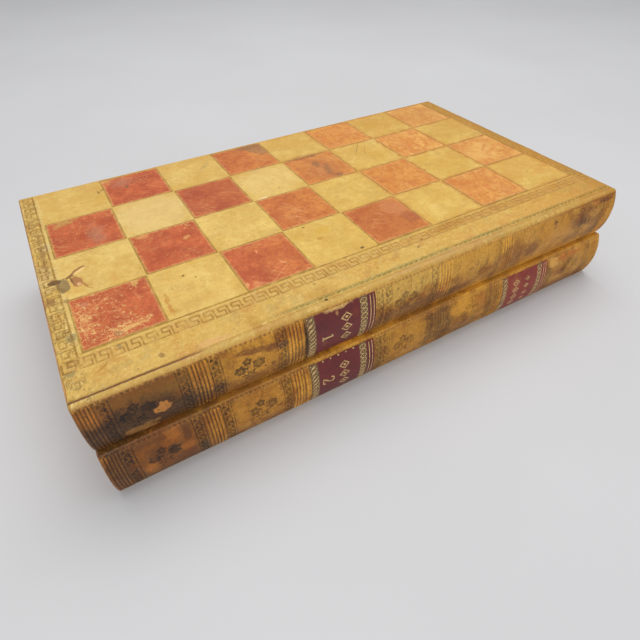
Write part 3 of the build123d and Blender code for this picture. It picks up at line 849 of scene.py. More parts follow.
# %% Group: spine calf
# marks on the spines, in mm from the board's first file and from the ground
# a crack at the label's left edge, and the painted shadow under the label's lifted edge: near black
SPINE_MARKS = read_marks("""
# dark and torn tail end of the upper volume
8 52 38 16 0 0.25 0.5 0.95 46 30 20
44 48 13 11 0 0.4 0.8 0.8 46 30 20
60 54 5 6 0 0.5 0.8 0.7 46 30 20
27.3 57.4 5 4.6 0 0.12 0.5 1 200 134 68
23.3 61.4 2.7 2.7 0 0.12 0.5 1 46 30 20
31.8 60 1.5 1.2 0 0.2 0.5 0.9 46 30 20
15.2 45.6 7.2 5 0 0.25 1.1 1 150 108 62
-4 68 6 5 0 0.5 0.8 0.5 170 110 50
31 68 10 3 0 0.6 0.8 0.4 130 96 44
# second panel: gold above, rust below, with a wide brush of dark stain across it
80 62 17 12 0 0.4 0.5 0.85 208 148 56
78 44 22 8 0 0.5 0.8 0.75 110 60 30
76 71.2 6 1.5 0 0.5 0.5 0.7 110 56 32
84 69.4 6.5 2 0 0.4 0.5 0.8 108 54 34
92 67.4 6 2.5 0 0.4 0.5 0.8 106 54 36
99.8 66 3 2.6 0 0.3 0.7 0.8 80 50 46
92.5 54.6 1.5 1.5 0 0.3 0.5 0.7 110 60 30
109 47 13 10 0 0.6 0.8 0.6 96 66 38
114.7 57.5 1.1 18.5 0 0.3 0.1 1 12 8 5
# past the label: pale gold above, umber below
190 71.5 42 9.5 0 0.35 0.6 1 222 180 98
258 71 38 10 0 0.4 0.6 0.95 220 166 72
200 48 46 8.5 0 0.4 0.8 0.9 116 72 38
221.5 55.5 4.4 2.6 0 0.4 0.8 0.7 198 122 58
275 60 10 5 0 0.5 0.9 0.6 132 78 44
275 47 12 8 0 0.6 0.8 0.55 116 82 56
# head end of the upper volume
326 64 24 12 0 0.4 0.7 0.8 206 148 58
340 50 62 11 0 0.5 0.8 0.85 202 140 46
327.3 71.8 1.9 1.5 0 0.3 0.6 0.85 94 52 24
327.3 68 1.2 1.2 0 0.3 0.6 0.7 120 70 30
335 57.5 5.5 0.7 0 0.4 0.6 0.7 110 76 34
357 66 13 7 0 0.6 1 0.8 118 66 34
306 58 12 6 0 0.5 0.9 0.8 118 64 30
298 71 9 6 0 0.5 1 0.8 206 150 66
318 62 7 9 0 0.5 1.2 0.85 212 150 50
286 64 7 9 0 0.6 1.2 0.7 140 84 38
376 52 7 10 0 0.6 1.2 0.7 124 82 36
338 66 4 9 0 0.5 1.2 0.8 208 146 52
345 56 8 5 0 0.5 1.2 0.8 206 148 60
352 52 12 5 0 0.6 0.9 0.6 126 80 34
359 63.5 4.5 2.6 0 0.4 0.8 0.85 92 52 38
288 50 9 6 0 0.5 0.8 0.6 120 74 40
383.5 74.2 8 1.5 0 0.3 0.6 0.85 112 56 36
372 74.4 3.6 1.3 0 0.4 0.6 0.85 206 130 62
# tail end of the lower volume
-5 24 10 18 0 0.4 0.8 0.9 70 46 28
21 24 19 15 0 0.5 0.7 0.7 150 84 28
20 34.5 22 2.6 0 0.4 0.7 0.6 96 54 28
30 10 9 6 0 0.5 0.8 0.75 110 60 30
14.5 23 6 6.5 0 0.6 0.8 0.7 84 54 36
25.5 23 4 3.2 0 0.5 1.4 0.8 58 52 36
28.5 32.5 4.6 4.4 0 0.5 1.5 0.85 178 106 42
34.2 31 3.4 5 0 0.6 1.4 0.8 84 48 30
33 20 4.6 2.6 0 0.5 1.5 0.8 182 108 42
10 12 3.5 8 0 0.6 1.3 0.75 186 114 40
41 12.5 2.6 6.5 0 0.4 0.6 0.8 58 54 38
78 23 17 13 0 0.4 0.6 0.8 190 130 50
92.5 20 2.6 10 0 0.5 0.7 0.6 200 142 54
92.7 17.6 1.4 1.6 0 0.3 0.5 0.7 110 60 30
110.8 21 0.8 15 0 0.4 0.4 0.6 88 44 34
78 6 22 4.5 0 0.6 0.8 0.6 126 74 40
20 3 34 4 0 0.8 0.8 0.5 96 66 38
# past the lower label
169 20 5 18 0 0.5 0.8 0.55 108 78 44
191 23 15 13 0 0.4 0.7 0.85 200 142 54
222 20 13 16 0 0.5 0.8 0.8 98 72 44
220 34 10 2.4 0 0.5 0.8 0.6 98 60 42
246 30 13 8 0 0.35 0.7 0.95 220 158 56
246 9 14 8 0 0.5 0.8 0.8 122 74 38
262 29 6 5 0 0.5 0.8 0.65 190 118 46
274 22 6 16 0 0.6 0.8 0.5 112 78 46
# head end of the lower volume
336 18 3.4 14 0 0.5 0.8 0.65 90 68 46
341 32.6 6.6 4.2 0 0.25 0.6 1 228 174 94
360 33.6 15 2.8 0 0.35 0.8 0.95 200 118 44
354 20 5 4 0 0.5 1 0.85 120 62 28
361 27 5 4 0 0.5 1 0.8 100 62 26
384 18 4 14 0 0.6 1 0.7 120 84 40
346 22 5 6 0 0.5 1.2 0.7 150 92 38
374 24 18 10 0 0.5 0.8 0.75 204 148 56
355 7 30 5 0 0.6 0.8 0.6 118 72 42
""")


def build_spine_group():
    """Colour, roughness and height of the brown leather round the spines."""
    r, source, target = new_effect("Spine calf", {}, ["Colour", "Roughness", "Height"])
    place = source["Place"]
    surface = calf_surface(r, place, 0.8, 13.0)
    torn = torn_edges(r, place)
    x, _, z = r.split(place)
    r.colour = r.mix(surface["Mottle"], (154, 96, 30), (210, 154, 56))
    tail = r.ramp(x, -110.0, -165.0)
    r.coat((110, 64, 26), tail, 0.85)
    r.colour = lay_worn_marks(r, place, torn, r.colour, SPINE_MARKS, SPINE_CORNER, True, thin=0.78)
    r.coat((100, 62, 26), r.spread(surface["Speckle"], 0.3, 0.0))
    streaks = r.noise(r.vector("MULTIPLY", place, (1.6, 0.5, 0.5)), 0.11, 7.0, 0.78)
    r.coat((102, 62, 28), r.ramp(streaks, 0.52, 0.66), 0.5)
    blots = r.noise(place, 0.4, 7.0, 0.82)
    r.coat((88, 54, 24), r.ramp(blots, 0.53, 0.64), r.spread(r.ramp(x, -60.0, 0.0), 0.5, 0.36))
    r.coat((1.6, 1.5, 1.3, 1.0), r.times(r.ramp(blots, 0.46, 0.37), 0.5), blend="MULTIPLY")
    marks = scratch_mask(r, place, 0.5, 2.0, 0.38)
    r.coat((88, 56, 34), marks, 0.5)
    flecks = r.ramp(r.noise(place, 0.75, 6.0, 0.82), 0.53, 0.59)
    flecks = r.times(flecks, r.ramp(r.noise(place, 0.09, 5.0, 0.7), 0.44, 0.56))
    r.coat(r.mix(tail, (226, 176, 96), (140, 106, 56)), flecks, 0.5)
    specks = speck_mask(r, place, 9.0, 0.1)
    r.coat((72, 46, 28), specks, 0.7)
    r.coat((1.02, 0.98, 0.76, 1.0), 1.0, blend="MULTIPLY")
    # Painted light: within a few mm of the pin, where the two volumes meet, the colour is multiplied
    # lighter and less orange, which lifts the shade in the crease between them.
    rim = r.ramp(r.away(z, PIN_Z), 6.0, 1.0)
    r.coat((1.5, 1.6, 2.1, 1.0), r.times(rim, 0.6), blend="MULTIPLY")
    wander = r.times(r.noise(place, 0.12, 6.0, 0.75), 5.0)
    height = r.plus(z, wander)
    # Painted light: the lower volume's top edge, just below the pin, is coated tan as a lit edge, in
    # patches, weaker at the tail end and round x = 76 mm.
    lit_ledge = r.times(r.ramp(height, PIN_Z - 1.8, PIN_Z + 0.4), r.ramp(z, PIN_Z + 0.3, PIN_Z))
    lit_ledge = r.times(lit_ledge, r.spread(r.ramp(x, -190.0, -120.0), 0.12, 0.72))
    lit_ledge = r.times(lit_ledge, r.spread(r.ramp(r.noise(place, 0.03, 3.0, 0.6), 0.42, 0.56), 0.2, 1.0))
    lit_ledge = r.times(lit_ledge, r.spread(r.ramp(r.away(x, 76.0), 40.0, 24.0), 1.0, 0.3))
    lip = r.times(r.ramp(height, FACE_Z - 1.6, FACE_Z + 0.6), r.spread(r.ramp(x, -200.0, -150.0), 0.7, 0.9))
    r.coat((176, 122, 54), lit_ledge, 0.55)
    bright = r.times(lip, 0.9)
    dirt = r.ramp(r.noise(place, 0.25, 7.0, 0.8), 0.48, 0.6)
    edge_tone = r.mix(r.ramp(x, 90.0, 190.0), (214, 160, 78), (160, 94, 26))
    r.coat(r.mix(r.times(dirt, 0.6), edge_tone, (140, 92, 42)), bright)
    r.feed(target["Colour"], r.colour)
    r.feed(target["Height"], r.less(surface["Height"], r.times(marks, 0.8)))
    r.feed(target["Roughness"], r.spread(surface["Mottle"], 0.55, 0.4))


build_spine_group()


# %% Materials: spine calf, its ink and its ridges
def build_spine_calf():
    """Brown on the spine itself, and buff where the leather turns on to the chess face."""
    r, place = new_material("spine_calf")
    brown = r.group("Spine calf", {"Place": place})
    buff = r.group("Buff calf", {"Place": place})
    x, y, z = r.split(place)
    from_pin = r.away(z, PIN_Z)
    wander = r.times(r.noise(place, 0.25, 4.0, 0.6), 1.4)
    on_face = r.ramp(r.plus(from_pin, wander), 38.0, 39.2)
    r.colour = r.mix(on_face, brown["Colour"], buff["Colour"])
    tail = r.ramp(x, -125.0, -150.0)
    wander = r.times(r.noise(place, 0.3, 6.0, 0.75), 1.2)
    from_crack = r.math("ABSOLUTE", r.plus(r.less(y, upper.joint_y / MM - 0.8), wander))
    wide = r.spread(tail, 0.5, 1.1)
    crack = r.times(r.ramp(from_crack, wide, r.times(wide, 0.3)), r.spread(tail, 0.12, 0.9))
    r.coat((98, 52, 26), crack, on_face)
    return finish_material(r, r.colour, brown["Roughness"], brown["Height"], 0.5, 0.12)


def build_spine_tooling(name, stroke, low, high):
    """Tooling on the spine: it darkens or lightens the leather under it, and comes and goes."""
    r, place = new_material(name)
    look = r.group("Spine calf", {"Place": place})
    broken = r.ramp(r.noise(place, 0.16, 8.0, 0.8), 0.38, 0.6)
    x = r.split(place)[0]
    fade = r.times(r.spread(r.ramp(x, -140.0, -60.0), 1.0, 0.72),
                   r.spread(r.ramp(x, -30.0, 60.0), 1.0, 0.5))
    colour = r.mix(r.times(r.spread(broken, low, high), fade), look["Colour"], stroke, "MULTIPLY")
    return finish_material(r, colour, look["Roughness"], look["Height"], 0.5, 0.12)


build_spine_calf()
build_spine_tooling("spine_ink", (0.13, 0.14, 0.28, 1.0), 0.3, 0.95)
build_spine_tooling("spine_ridge", (1.7, 1.62, 1.5, 1.0), 0.3, 1.0)
build_spine_tooling("scallop_ink", (0.36, 0.32, 0.28, 1.0), 0.2, 0.8)
build_spine_tooling("valley_ink", (0.3, 0.26, 0.24, 1.0), 0.35, 0.95)
print("made", list(LOOKS)[-5:])

# %% [markdown]
# ## Labels, gilt and the other leathers
#
# Labels are the thinnest calf, dyed dark red. Gilt is gold leaf struck through the leather, which
# has rubbed away on the high places: the same noise that hides it also gives back the leather's
# own gloss, so metal and leather meet in ragged edges.

# %% Materials: label calf and gilt
NUMBER_X, TITLE_X = [
    (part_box(label)[0].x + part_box(label)[1].x) / 2 / MM
    for label in ("upper_number_label", "lower_title_label")
]
# marks on the labels, in mm from the number labels' middle and from the ground
LABEL_MARKS = read_marks("""
-2.5 75.6 9 1.6 0 0.25 0.7 0.95 222 180 108
-3.6 72.6 0.9 2.2 0 0.3 0.8 0.7 196 142 92
8.7 67.3 2.5 3 0 0.5 0.8 0.6 132 58 34
-13 52 1.6 3.2 0 0.5 0.8 0.6 134 76 42
-15 67 4 6 0 0.6 0.8 0.4 78 36 44
4 48 6 5 0 0.6 0.8 0.4 86 54 44
150 27 4 12 0 0.6 0.8 0.6 150 62 38
158 28 4 9 0 0.6 0.8 0.6 172 98 60
184 28 4 7 0 0.6 0.8 0.4 150 44 50
""")
# from and to along a label, in mm from its middle
LABEL_BANDS = [(-25.0, -18.4), (12.4, 18.7)]


def build_label_calf(name, red, middle_x):
    """Label leather, browned by gold size in two bands."""
    r, place = new_material(name)
    surface = calf_surface(r, place, 0.6, 9.0)
    x = r.split(place)[0]
    r.colour = r.mix(surface["Mottle"], r.mix(0.3, red, (60, 30, 28)), red)
    for low, high in LABEL_BANDS:
        inside = r.times(r.ramp(x, middle_x + low, middle_x + low + 0.6),
                        r.ramp(x, middle_x + high, middle_x + high - 0.6))
        r.coat(r.mix(surface["Fine"], (104, 82, 50), (128, 104, 68)), inside, 0.85)
    torn = torn_edges(r, place)
    r.colour = lay_worn_marks(r, place, torn, r.colour, LABEL_MARKS, (NUMBER_X, *SPINE_CORNER[1:]), True)
    rubbed = r.ramp(r.noise(place, 0.35, 7.0, 0.8), 0.56, 0.68)
    r.coat((150, 92, 66), rubbed, 0.3)
    return finish_material(r, r.colour, r.spread(surface["Fine"], 0.34, 0.5), surface["Height"], 0.4, 0.1)


def build_gilt():
    r, place = new_material("rubbed_gilt")
    worn = r.ramp(r.noise(place, 0.45, 6.0, 0.8), 0.6, 0.5)
    colour = r.mix(worn, (132, 98, 62), (216, 182, 122))
    r.feed(r.shader.inputs["Metallic"], r.times(worn, 0.35))
    height = r.noise(place, 1.1, 3.0)
    return finish_material(r, colour, r.spread(worn, 0.55, 0.36), height, 0.3, 0.08)


build_label_calf("number_calf", (112, 42, 42), NUMBER_X)
build_label_calf("title_calf", (148, 56, 42), TITLE_X)
build_gilt()
print("label middles at", round(NUMBER_X, 1), "and", round(TITLE_X, 1), "mm")


# %% Materials: edge, field and green calf
def build_plain_calf(name, low, high, wear):
    """Calf with mottling, scuffs and rubbed spots, for the places seen less."""
    r, place = new_material(name)
    surface = calf_surface(r, place, 0.8, 18.0)
    r.colour = r.mix(surface["Mottle"], low, high)
    marks = scratch_mask(r, place, 0.3, 2.4, 0.4)
    r.coat(wear, marks, 0.6)
    rubbed = r.ramp(r.noise(place, 0.2, 6.0, 0.75), 0.6, 0.72)
    r.coat(wear, rubbed, 0.45)
    specks = speck_mask(r, place, 15.0, 0.1)
    r.coat((58, 38, 26), specks, 0.7)
    height = r.less(surface["Height"], r.times(marks, 0.8))
    return finish_material(r, r.colour, r.spread(surface["Fine"], 0.44, 0.6), height, 0.5, 0.12)


PLAIN_CALF = {
    "edge_calf": ((158, 108, 56), (190, 140, 74), (120, 80, 44)),
    "lining_calf": ((104, 66, 42), (134, 88, 54), (164, 118, 74)),
    "field_calf": ((96, 54, 36), (124, 74, 48), (156, 108, 72)),
    "point_red": ((146, 50, 42), (176, 72, 54), (200, 142, 96)),
    "point_green": ((40, 66, 46), (62, 92, 62), (126, 130, 84)),
}
for name, tones in PLAIN_CALF.items():
    build_plain_calf(name, *tones)
print("plain calf", list(PLAIN_CALF))


# %% Materials: wood, brass and steel
def build_wood():
    """Deal boards: long soft rings, hidden under the leather almost everywhere."""
    r, place = new_material("board_wood")
    along_grain = r.vector("MULTIPLY", place, (0.03, 1.0, 1.0))
    rings = r.noise(along_grain, 0.35, 4.0, 0.6)
    fibres = r.noise(along_grain, 3.0, 3.0, 0.7)
    r.colour = r.mix(r.ramp(rings, 0.35, 0.65), (172, 128, 80), (204, 164, 110))
    r.coat((132, 94, 58), fibres, 0.4)
    return finish_material(r, r.colour, r.spread(fibres, 0.6, 0.8), fibres, 0.4, 0.1)


def build_metal(name, clean, dull, polish, rough):
    """Old metal: clean where it rubs, dull and spotted elsewhere."""
    r, place = new_material(name)
    tarnish = r.ramp(r.noise(place, 0.4, 6.0, 0.7), 0.42, 0.66)
    colour = r.mix(tarnish, clean, dull)
    brushed = r.noise(r.vector("MULTIPLY", place, (0.1, 1.0, 1.0)), 2.5, 3.0, 0.6)
    r.feed(r.shader.inputs["Metallic"], r.spread(tarnish, 1.0, 0.7))
    return finish_material(r, colour, r.spread(tarnish, polish, rough), brushed, 0.25, 0.05)


build_wood()
build_metal("brass", (214, 178, 104), (132, 98, 52), 0.28, 0.55)
build_metal("pin_steel", (176, 172, 166), (104, 96, 88), 0.3, 0.6)
print("made", len(LOOKS), "materials")

# %% [markdown]
# ## Dressing the CAD nodes
#
# Boards, walls, linings, hinge leaves and pins already have their final shape, so each keeps its
# CAD mesh and only gets a material.

# %% Materials on the CAD nodes
NODE_FINISH = {
    "board_wood": ("panel", "spine_rail", "hinge_rail", "tail_rail", "head_rail"),
    "edge_calf": ("edge_leather",), "field_calf": ("field_lining",), "lining_calf": ("wall_lining",),
    "point_red": ("red_points",), "point_green": ("green_points",), "brass": ("hinge_screws", "leaf"),
    "buff_calf": ("face_leather",), "spine_calf": ("spine_leather",), "red_calf": ("dark_squares",),
    "number_calf": ("number_label",), "title_calf": ("title_label",), "pin_steel": ("pin",),
}
for finish, endings in NODE_FINISH.items():
    for node_name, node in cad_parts.items():
        if node_name.endswith(endings):
            node.data.materials.clear()
            node.data.materials.append(LOOKS[finish])
print("dressed", len(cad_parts), "nodes")

# %% [markdown]
# ## One unevenness for everything leather
#
# Old boards warp a little and old leather swells and sinks, by a few tenths of a millimetre. The
# squares, the tooling and the labels lie on that same leather, so all of them have to rise and
# sink together. A geometry group moves each point by smooth noise that depends only on its place.
# Whatever lies at one place moves alike, and nothing comes apart.

# %% Group: old leather wave
SKIN_DROP = 0.25 * MM
WAVE_DEPTH = 0.5 * MM


def build_wave_group():
    r, source, target = new_tree("Old leather wave", {"Depth": WAVE_DEPTH, "Spread": 45 * MM})
    place = r.here()
    broad = r.noise(place, r.math("DIVIDE", 1.0, source["Spread"]), 1.0, 0.5, output=1)
    fine = r.noise(place, r.math("DIVIDE", 6.0, source["Spread"]), 1.0, 0.5, output=1)
    broad = r.scale(r.vector("SUBTRACT", broad, (0.5, 0.5, 0.5)), source["Depth"])
    fine = r.scale(r.vector("SUBTRACT", fine, (0.5, 0.5, 0.5)), r.times(source["Depth"], 0.3))
    r.feed(target["Geometry"], r.shift(source["Geometry"], r.vector("ADD", broad, fine)))


build_wave_group()


# %% Group: wrap on to a volume
WRAP_SOCKETS = {
    "Round": False, "Radius": 44 * MM, "Arc Y": 0.0, "Middle Z": 0.0, "Face Z": 0.0, "Outward": 1.0,
}


def build_wrap_group():
    """A flat pattern (along, across, height) goes on to a chess face or round a spine."""
    r, source, target = new_tree("Wrap", WRAP_SOCKETS)
    along_case, across, height = r.split(r.here())
    turn = r.math("DIVIDE", across, source["Radius"])
    reach = r.plus(source["Radius"], height)
    round_y = r.less(source["Arc Y"], r.times(reach, r.math("COSINE", turn)))
    round_z = r.plus(source["Middle Z"], r.times(reach, r.math("SINE", turn)))
    flat_z = r.plus(source["Face Z"], r.times(height, source["Outward"]))
    choose_y = {"Switch": source["Round"], "False": across, "True": round_y}
    choose_z = {"Switch": source["Round"], "False": flat_z, "True": round_z}
    y = r.geo("Switch", choose_y, input_type="FLOAT")
    z = r.geo("Switch", choose_z, input_type="FLOAT")
    moved = {"Geometry": source["Geometry"], "Position": r.xyz(along_case, y, z)}
    r.feed(target["Geometry"], r.geo("SetPosition", moved))


build_wrap_group()


def wrap_values(volume, round_spine):
    """The wrap's inputs for one side of one volume, just inside the CAD surface."""
    return {
        "Round": round_spine,
        "Radius": volume.radius - SKIN_DROP,
        "Arc Y": volume.arc_y,
        "Middle Z": volume.middle_z,
        "Face Z": volume.face_z - volume.outward * SKIN_DROP,
        "Outward": float(volume.outward),
    }


# %% Running a geometry tree
def grow(name, tree, values, body, mesh=None, smooth_angle=38.0):
    """Runs a tree once and keeps its result as a plain mesh that rides on a body."""
    piece = bpy.data.objects.new(name, mesh or bpy.data.meshes.new(name))
    modifier = piece.modifiers.new("recipe", "NODES")
    modifier.node_group = tree
    for socket in tree.interface.items_tree:
        if socket.in_out == "INPUT" and socket.name in values:
            modifier[socket.identifier] = values[socket.name]
    bpy.context.collection.objects.link(piece)
    evaluated = piece.evaluated_get(bpy.context.evaluated_depsgraph_get())
    result = bpy.data.meshes.new_from_object(evaluated)
    piece.modifiers.remove(modifier)
    result.name = name
    piece.data = result
    for label in ("stamp", "turn", "size"):
        if label in result.attributes:
            result.attributes.remove(result.attributes[label])
    tidy_shell(result, smooth_angle)
    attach(piece, body)
    print(f"  {name}: {len(result.polygons)} faces")
    return piece


def end_bmesh(bm, name):
    """A bmesh as a mesh of its own."""
    mesh = bpy.data.meshes.new(name)
    bm.to_mesh(mesh)
    bm.free()
    return mesh


def tidy_shell(mesh, smooth_angle):
    """Faces outward, smooth where the surface is smooth and sharp at its edges."""
    bm = bmesh.new()
    bm.from_mesh(mesh)
    bmesh.ops.recalc_face_normals(bm, faces=bm.faces)
    bm.to_mesh(mesh)
    bm.free()
    mesh.polygons.foreach_set("use_smooth", [True] * len(mesh.polygons))
    mesh.set_sharp_from_angle(angle=math.radians(smooth_angle))


# %% Tree: skin, and what all trees end with
LAST_SOCKETS = {"Depth": WAVE_DEPTH, "Material": None}


def finish_tree(r, source, target, geometry, wrapped=True):
    """The last steps of every tree: wrap, wave, one plain mesh and its material."""
    if wrapped:
        wrap = {"Geometry": geometry, **{name: source[name] for name in WRAP_SOCKETS}}
        geometry = r.group("Wrap", wrap)["Geometry"]
    waved = r.group("Old leather wave", {"Geometry": geometry, "Depth": source["Depth"]})
    whole = r.geo("RealizeInstances", {"Geometry": waved["Geometry"]})
    done = r.add("GeometryNodeSetMaterial", {"Geometry": whole, "Material": source["Material"]})
    r.feed(target["Geometry"], done.outputs[0])
    return r.tree


def fray(r, geometry, ragged, scale, detail, roughness):
    """Moves each point a little by noise, within the plane of the leather."""
    here = r.here()
    sway = r.vector("SUBTRACT", r.noise(here, scale, detail, roughness, output=1), (0.5, 0.5, 0.5))
    offset = r.scale(r.vector("MULTIPLY", sway, (2.0, 2.0, 0.0)), ragged)
    return r.shift(geometry, offset)


def build_skin_tree():
    """For covers: only the wave and the material."""
    r, source, target = new_tree("Leather skin", LAST_SOCKETS)
    return finish_tree(r, source, target, source["Geometry"], wrapped=False)


skin_tree = build_skin_tree()

# %% [markdown]
# ## Covers
#
# The leather on the face and the leather round the spine meet in a joint, where old books crack.
# Each cover is a section, drawn as pairs of points on its outer and inner side, swept along the
# case. At both ends the outer side draws in, as leather does where it turns over an edge.


# %% Sections of the covers
JOINT_ROUNDING = [(0.0, 0.7), (0.15, 0.28), (0.5, 0.06), (1.1, 0.0)]
JOINT_END = 1.1 * MM
CELL = 3 * MM


def joint_pairs(volume, side):
    """The rounded edge at the joint, in mm from it and deep: side is 1 on the face, -1 on the spine."""
    steps = [(volume.joint_y + side * y * MM, depth * MM) for y, depth in JOINT_ROUNDING]
    return [((y, depth), (y, LEATHER)) for y, depth in steps]


def face_section(volume):
    """(y, depth) of the outer and inner points, from the joint to the hinge side."""
    start, stop = volume.joint_y, volume.back_y
    pairs = joint_pairs(volume, 1)
    flat_stop = stop - HINGE_FACE_RADIUS
    count = round((flat_stop - start - JOINT_END) / CELL)
    for i in range(1, count + 1):
        y = start + JOINT_END + (flat_stop - start - JOINT_END) * i / count
        pairs.append(((y, 0.0), (y, LEATHER)))
    for step in (18, 36, 54, 72):
        turn = math.radians(step)
        y = flat_stop + HINGE_FACE_RADIUS * math.sin(turn)
        pairs.append(((y, HINGE_FACE_RADIUS * (1 - math.cos(turn))), (y, LEATHER)))
    return pairs


def spine_section(volume):
    """(y, depth) pairs from the joint on the face, round the spine and over the rim to the well."""
    half, radius = volume.thickness / 2, volume.radius
    pairs = joint_pairs(volume, -1)

    def rounding(ease, low_side):
        """Centre of the small rounding between the spine's arc and a flat side, and its arc angle."""
        reach = math.sqrt((radius - ease) ** 2 - (half - ease) ** 2)
        depth = 2 * half - ease if low_side else ease
        return (volume.arc_y - reach, depth), math.atan2(half - ease, reach)

    def arc(centre, ease, first, last, count):
        """Pairs on an arc. Angles are above the spine's middle, towards the chess face."""
        for i in range(1, count + 1):
            angle = first + (last - first) * i / count
            out_y, out_depth = -math.cos(angle), -math.sin(angle)
            outer = (centre[0] + ease * out_y, centre[1] + ease * out_depth)
            inner = (centre[0] + (ease - LEATHER) * out_y, centre[1] + (ease - LEATHER) * out_depth)
            pairs.append((outer, inner))

    face_centre, face_angle = rounding(FACE_SPINE_RADIUS, False)
    rim_centre, rim_angle = rounding(RIM_SPINE_RADIUS, True)
    pairs.append(((face_centre[0], 0.0), (face_centre[0], LEATHER)))
    arc(face_centre, FACE_SPINE_RADIUS, math.pi / 2, face_angle, 6)
    arc((volume.arc_y, half), radius, face_angle, -rim_angle, 18)
    arc(rim_centre, RIM_SPINE_RADIUS, -rim_angle, -math.pi / 2, 5)
    for i in range(1, 4):
        y = rim_centre[0] + (volume.rim_y - rim_centre[0]) * i / 3
        pairs.append(((y, 2 * half), (y, 2 * half - LEATHER)))
    return pairs


# %% Sweeping a cover
WORN_REACH = 2 * MM


def worn_end(x, y, depth, half, wear):
    """Rubbed ends are not straight: within WORN_REACH of an end, x draws in by up to wear."""
    near = max(0.0, 1.0 - (half - abs(x)) / WORN_REACH)
    place = Vector((y, depth, x))
    sway = 0.6 * noise.noise(place / (13 * MM)) + 0.4 * noise.noise(place / (4 * MM))
    return x - math.copysign(near * wear * min(1.0, max(0.0, 0.45 + 1.1 * sway)), x)


def sweep_cover(name, volume, pairs, wear):
    """A closed shell along the case, drawn in at its ends, SKIN_DROP inside the CAD surface."""
    half = volume.half_length - 0.2 * MM
    plain = half - WORN_REACH
    steps = round(2 * plain / CELL)
    stations = [(-half, 1.0), (-half + 0.2 * MM, 0.45), (-half + 0.6 * MM, 0.1), (-half + 1.2 * MM, 0.0)]
    stations += [(-half + WORN_REACH + 2 * plain * i / steps, 0.0) for i in range(steps + 1)]
    stations += [(half - 1.2 * MM, 0.0), (half - 0.6 * MM, 0.1), (half - 0.2 * MM, 0.45), (half, 1.0)]
    bm = bmesh.new()
    rings = []
    for x, ease in stations:
        draw_in = (SKIN_DROP + ease * END_EASE) / LEATHER
        outer = [Vector(a).lerp(Vector(b), draw_in) for a, b in pairs]
        ring = outer + [Vector(b) for _, b in reversed(pairs)]
        worn = [(worn_end(x, y, depth, half, wear), y, depth) for y, depth in ring]
        rings.append([bm.verts.new(volume.place(*point)) for point in worn])
    size = len(rings[0])
    for one, other in zip(rings, rings[1:]):
        for k in range(size):
            bm.faces.new((one[k], one[(k + 1) % size], other[(k + 1) % size], other[k]))
    for ring in (rings[0], rings[-1]):
        for k in range(len(pairs) - 1):
            bm.faces.new((ring[k], ring[k + 1], ring[size - 2 - k], ring[size - 1 - k]))
    return end_bmesh(bm, name)


def cover(volume, part, pairs, slot, wear):
    """One cover in place of its CAD leather. Its material has the slot's name."""
    name = f"{volume.name}_{part}_cover"
    values = {"Depth": WAVE_DEPTH, "Material": LOOKS[slot]}
    piece = grow(name, skin_tree, values, volume.body, sweep_cover(name, volume, pairs, wear))
    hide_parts(f"{volume.name}_{part}_leather")


for volume in VOLUMES:
    cover(volume, "face", face_section(volume), "buff_calf", 0.9 * MM)
    cover(volume, "spine", spine_section(volume), "spine_calf", 0.35 * MM)

# %% [markdown]
# ## The red squares
#
# One square tile is modelled, and Geometry Nodes lay it on every second field of a grid. A parity
# test on the field's place leaves the other fields bare, and each tile gets a slight turn and
# size of its own, because no hand cuts sixteen squares alike.


# %% Tile
def slab_mesh(name, size_x, size_y, low, high, step, ease):
    """A flat slab of square cells round the origin, its upper edge eased."""
    columns, rows = max(1, round(size_x / step)), max(1, round(size_y / step))
    bm = bmesh.new()
    levels = []
    for height, inset in ((low, 0.0), (high - ease, 0.0), (high, ease)):
        grid = {}
        for i in range(columns + 1):
            for j in range(rows + 1):
                if height == high or i in (0, columns) or j in (0, rows) or height == low:
                    x = (size_x / 2 - inset) * (2 * i / columns - 1)
                    y = (size_y / 2 - inset) * (2 * j / rows - 1)
                    grid[i, j] = bm.verts.new((x, y, height))
        levels.append(grid)
    for grid, flip in ((levels[0], True), (levels[2], False)):
        for i in range(columns):
            for j in range(rows):
                corners = [grid[i, j], grid[i + 1, j], grid[i + 1, j + 1], grid[i, j + 1]]
                bm.faces.new(corners[::-1] if flip else corners)
    border = [(i, 0) for i in range(columns)] + [(columns, j) for j in range(rows)]
    border += [(i, rows) for i in range(columns, 0, -1)] + [(0, j) for j in range(rows, 0, -1)]
    for under, over in zip(levels, levels[1:]):
        for a, b in zip(border, border[1:] + border[:1]):
            bm.faces.new((under[a], under[b], over[b], over[a]))
    return end_bmesh(bm, name)


TILE_X, TILE_Y, TILE_SHIFT = SQUARE - 2.0 * MM, SQUARE - 1.4 * MM, -0.5 * MM
tile_mesh = slab_mesh("tile", TILE_X, TILE_Y, -0.4 * MM, 0.04 * MM, 3 * MM, 0.15 * MM)
tile_mesh.transform(Matrix.Translation((0, TILE_SHIFT, 0)))
tile = bpy.data.objects.new("tile", tile_mesh)
print("tile", len(tile.data.polygons), "faces")


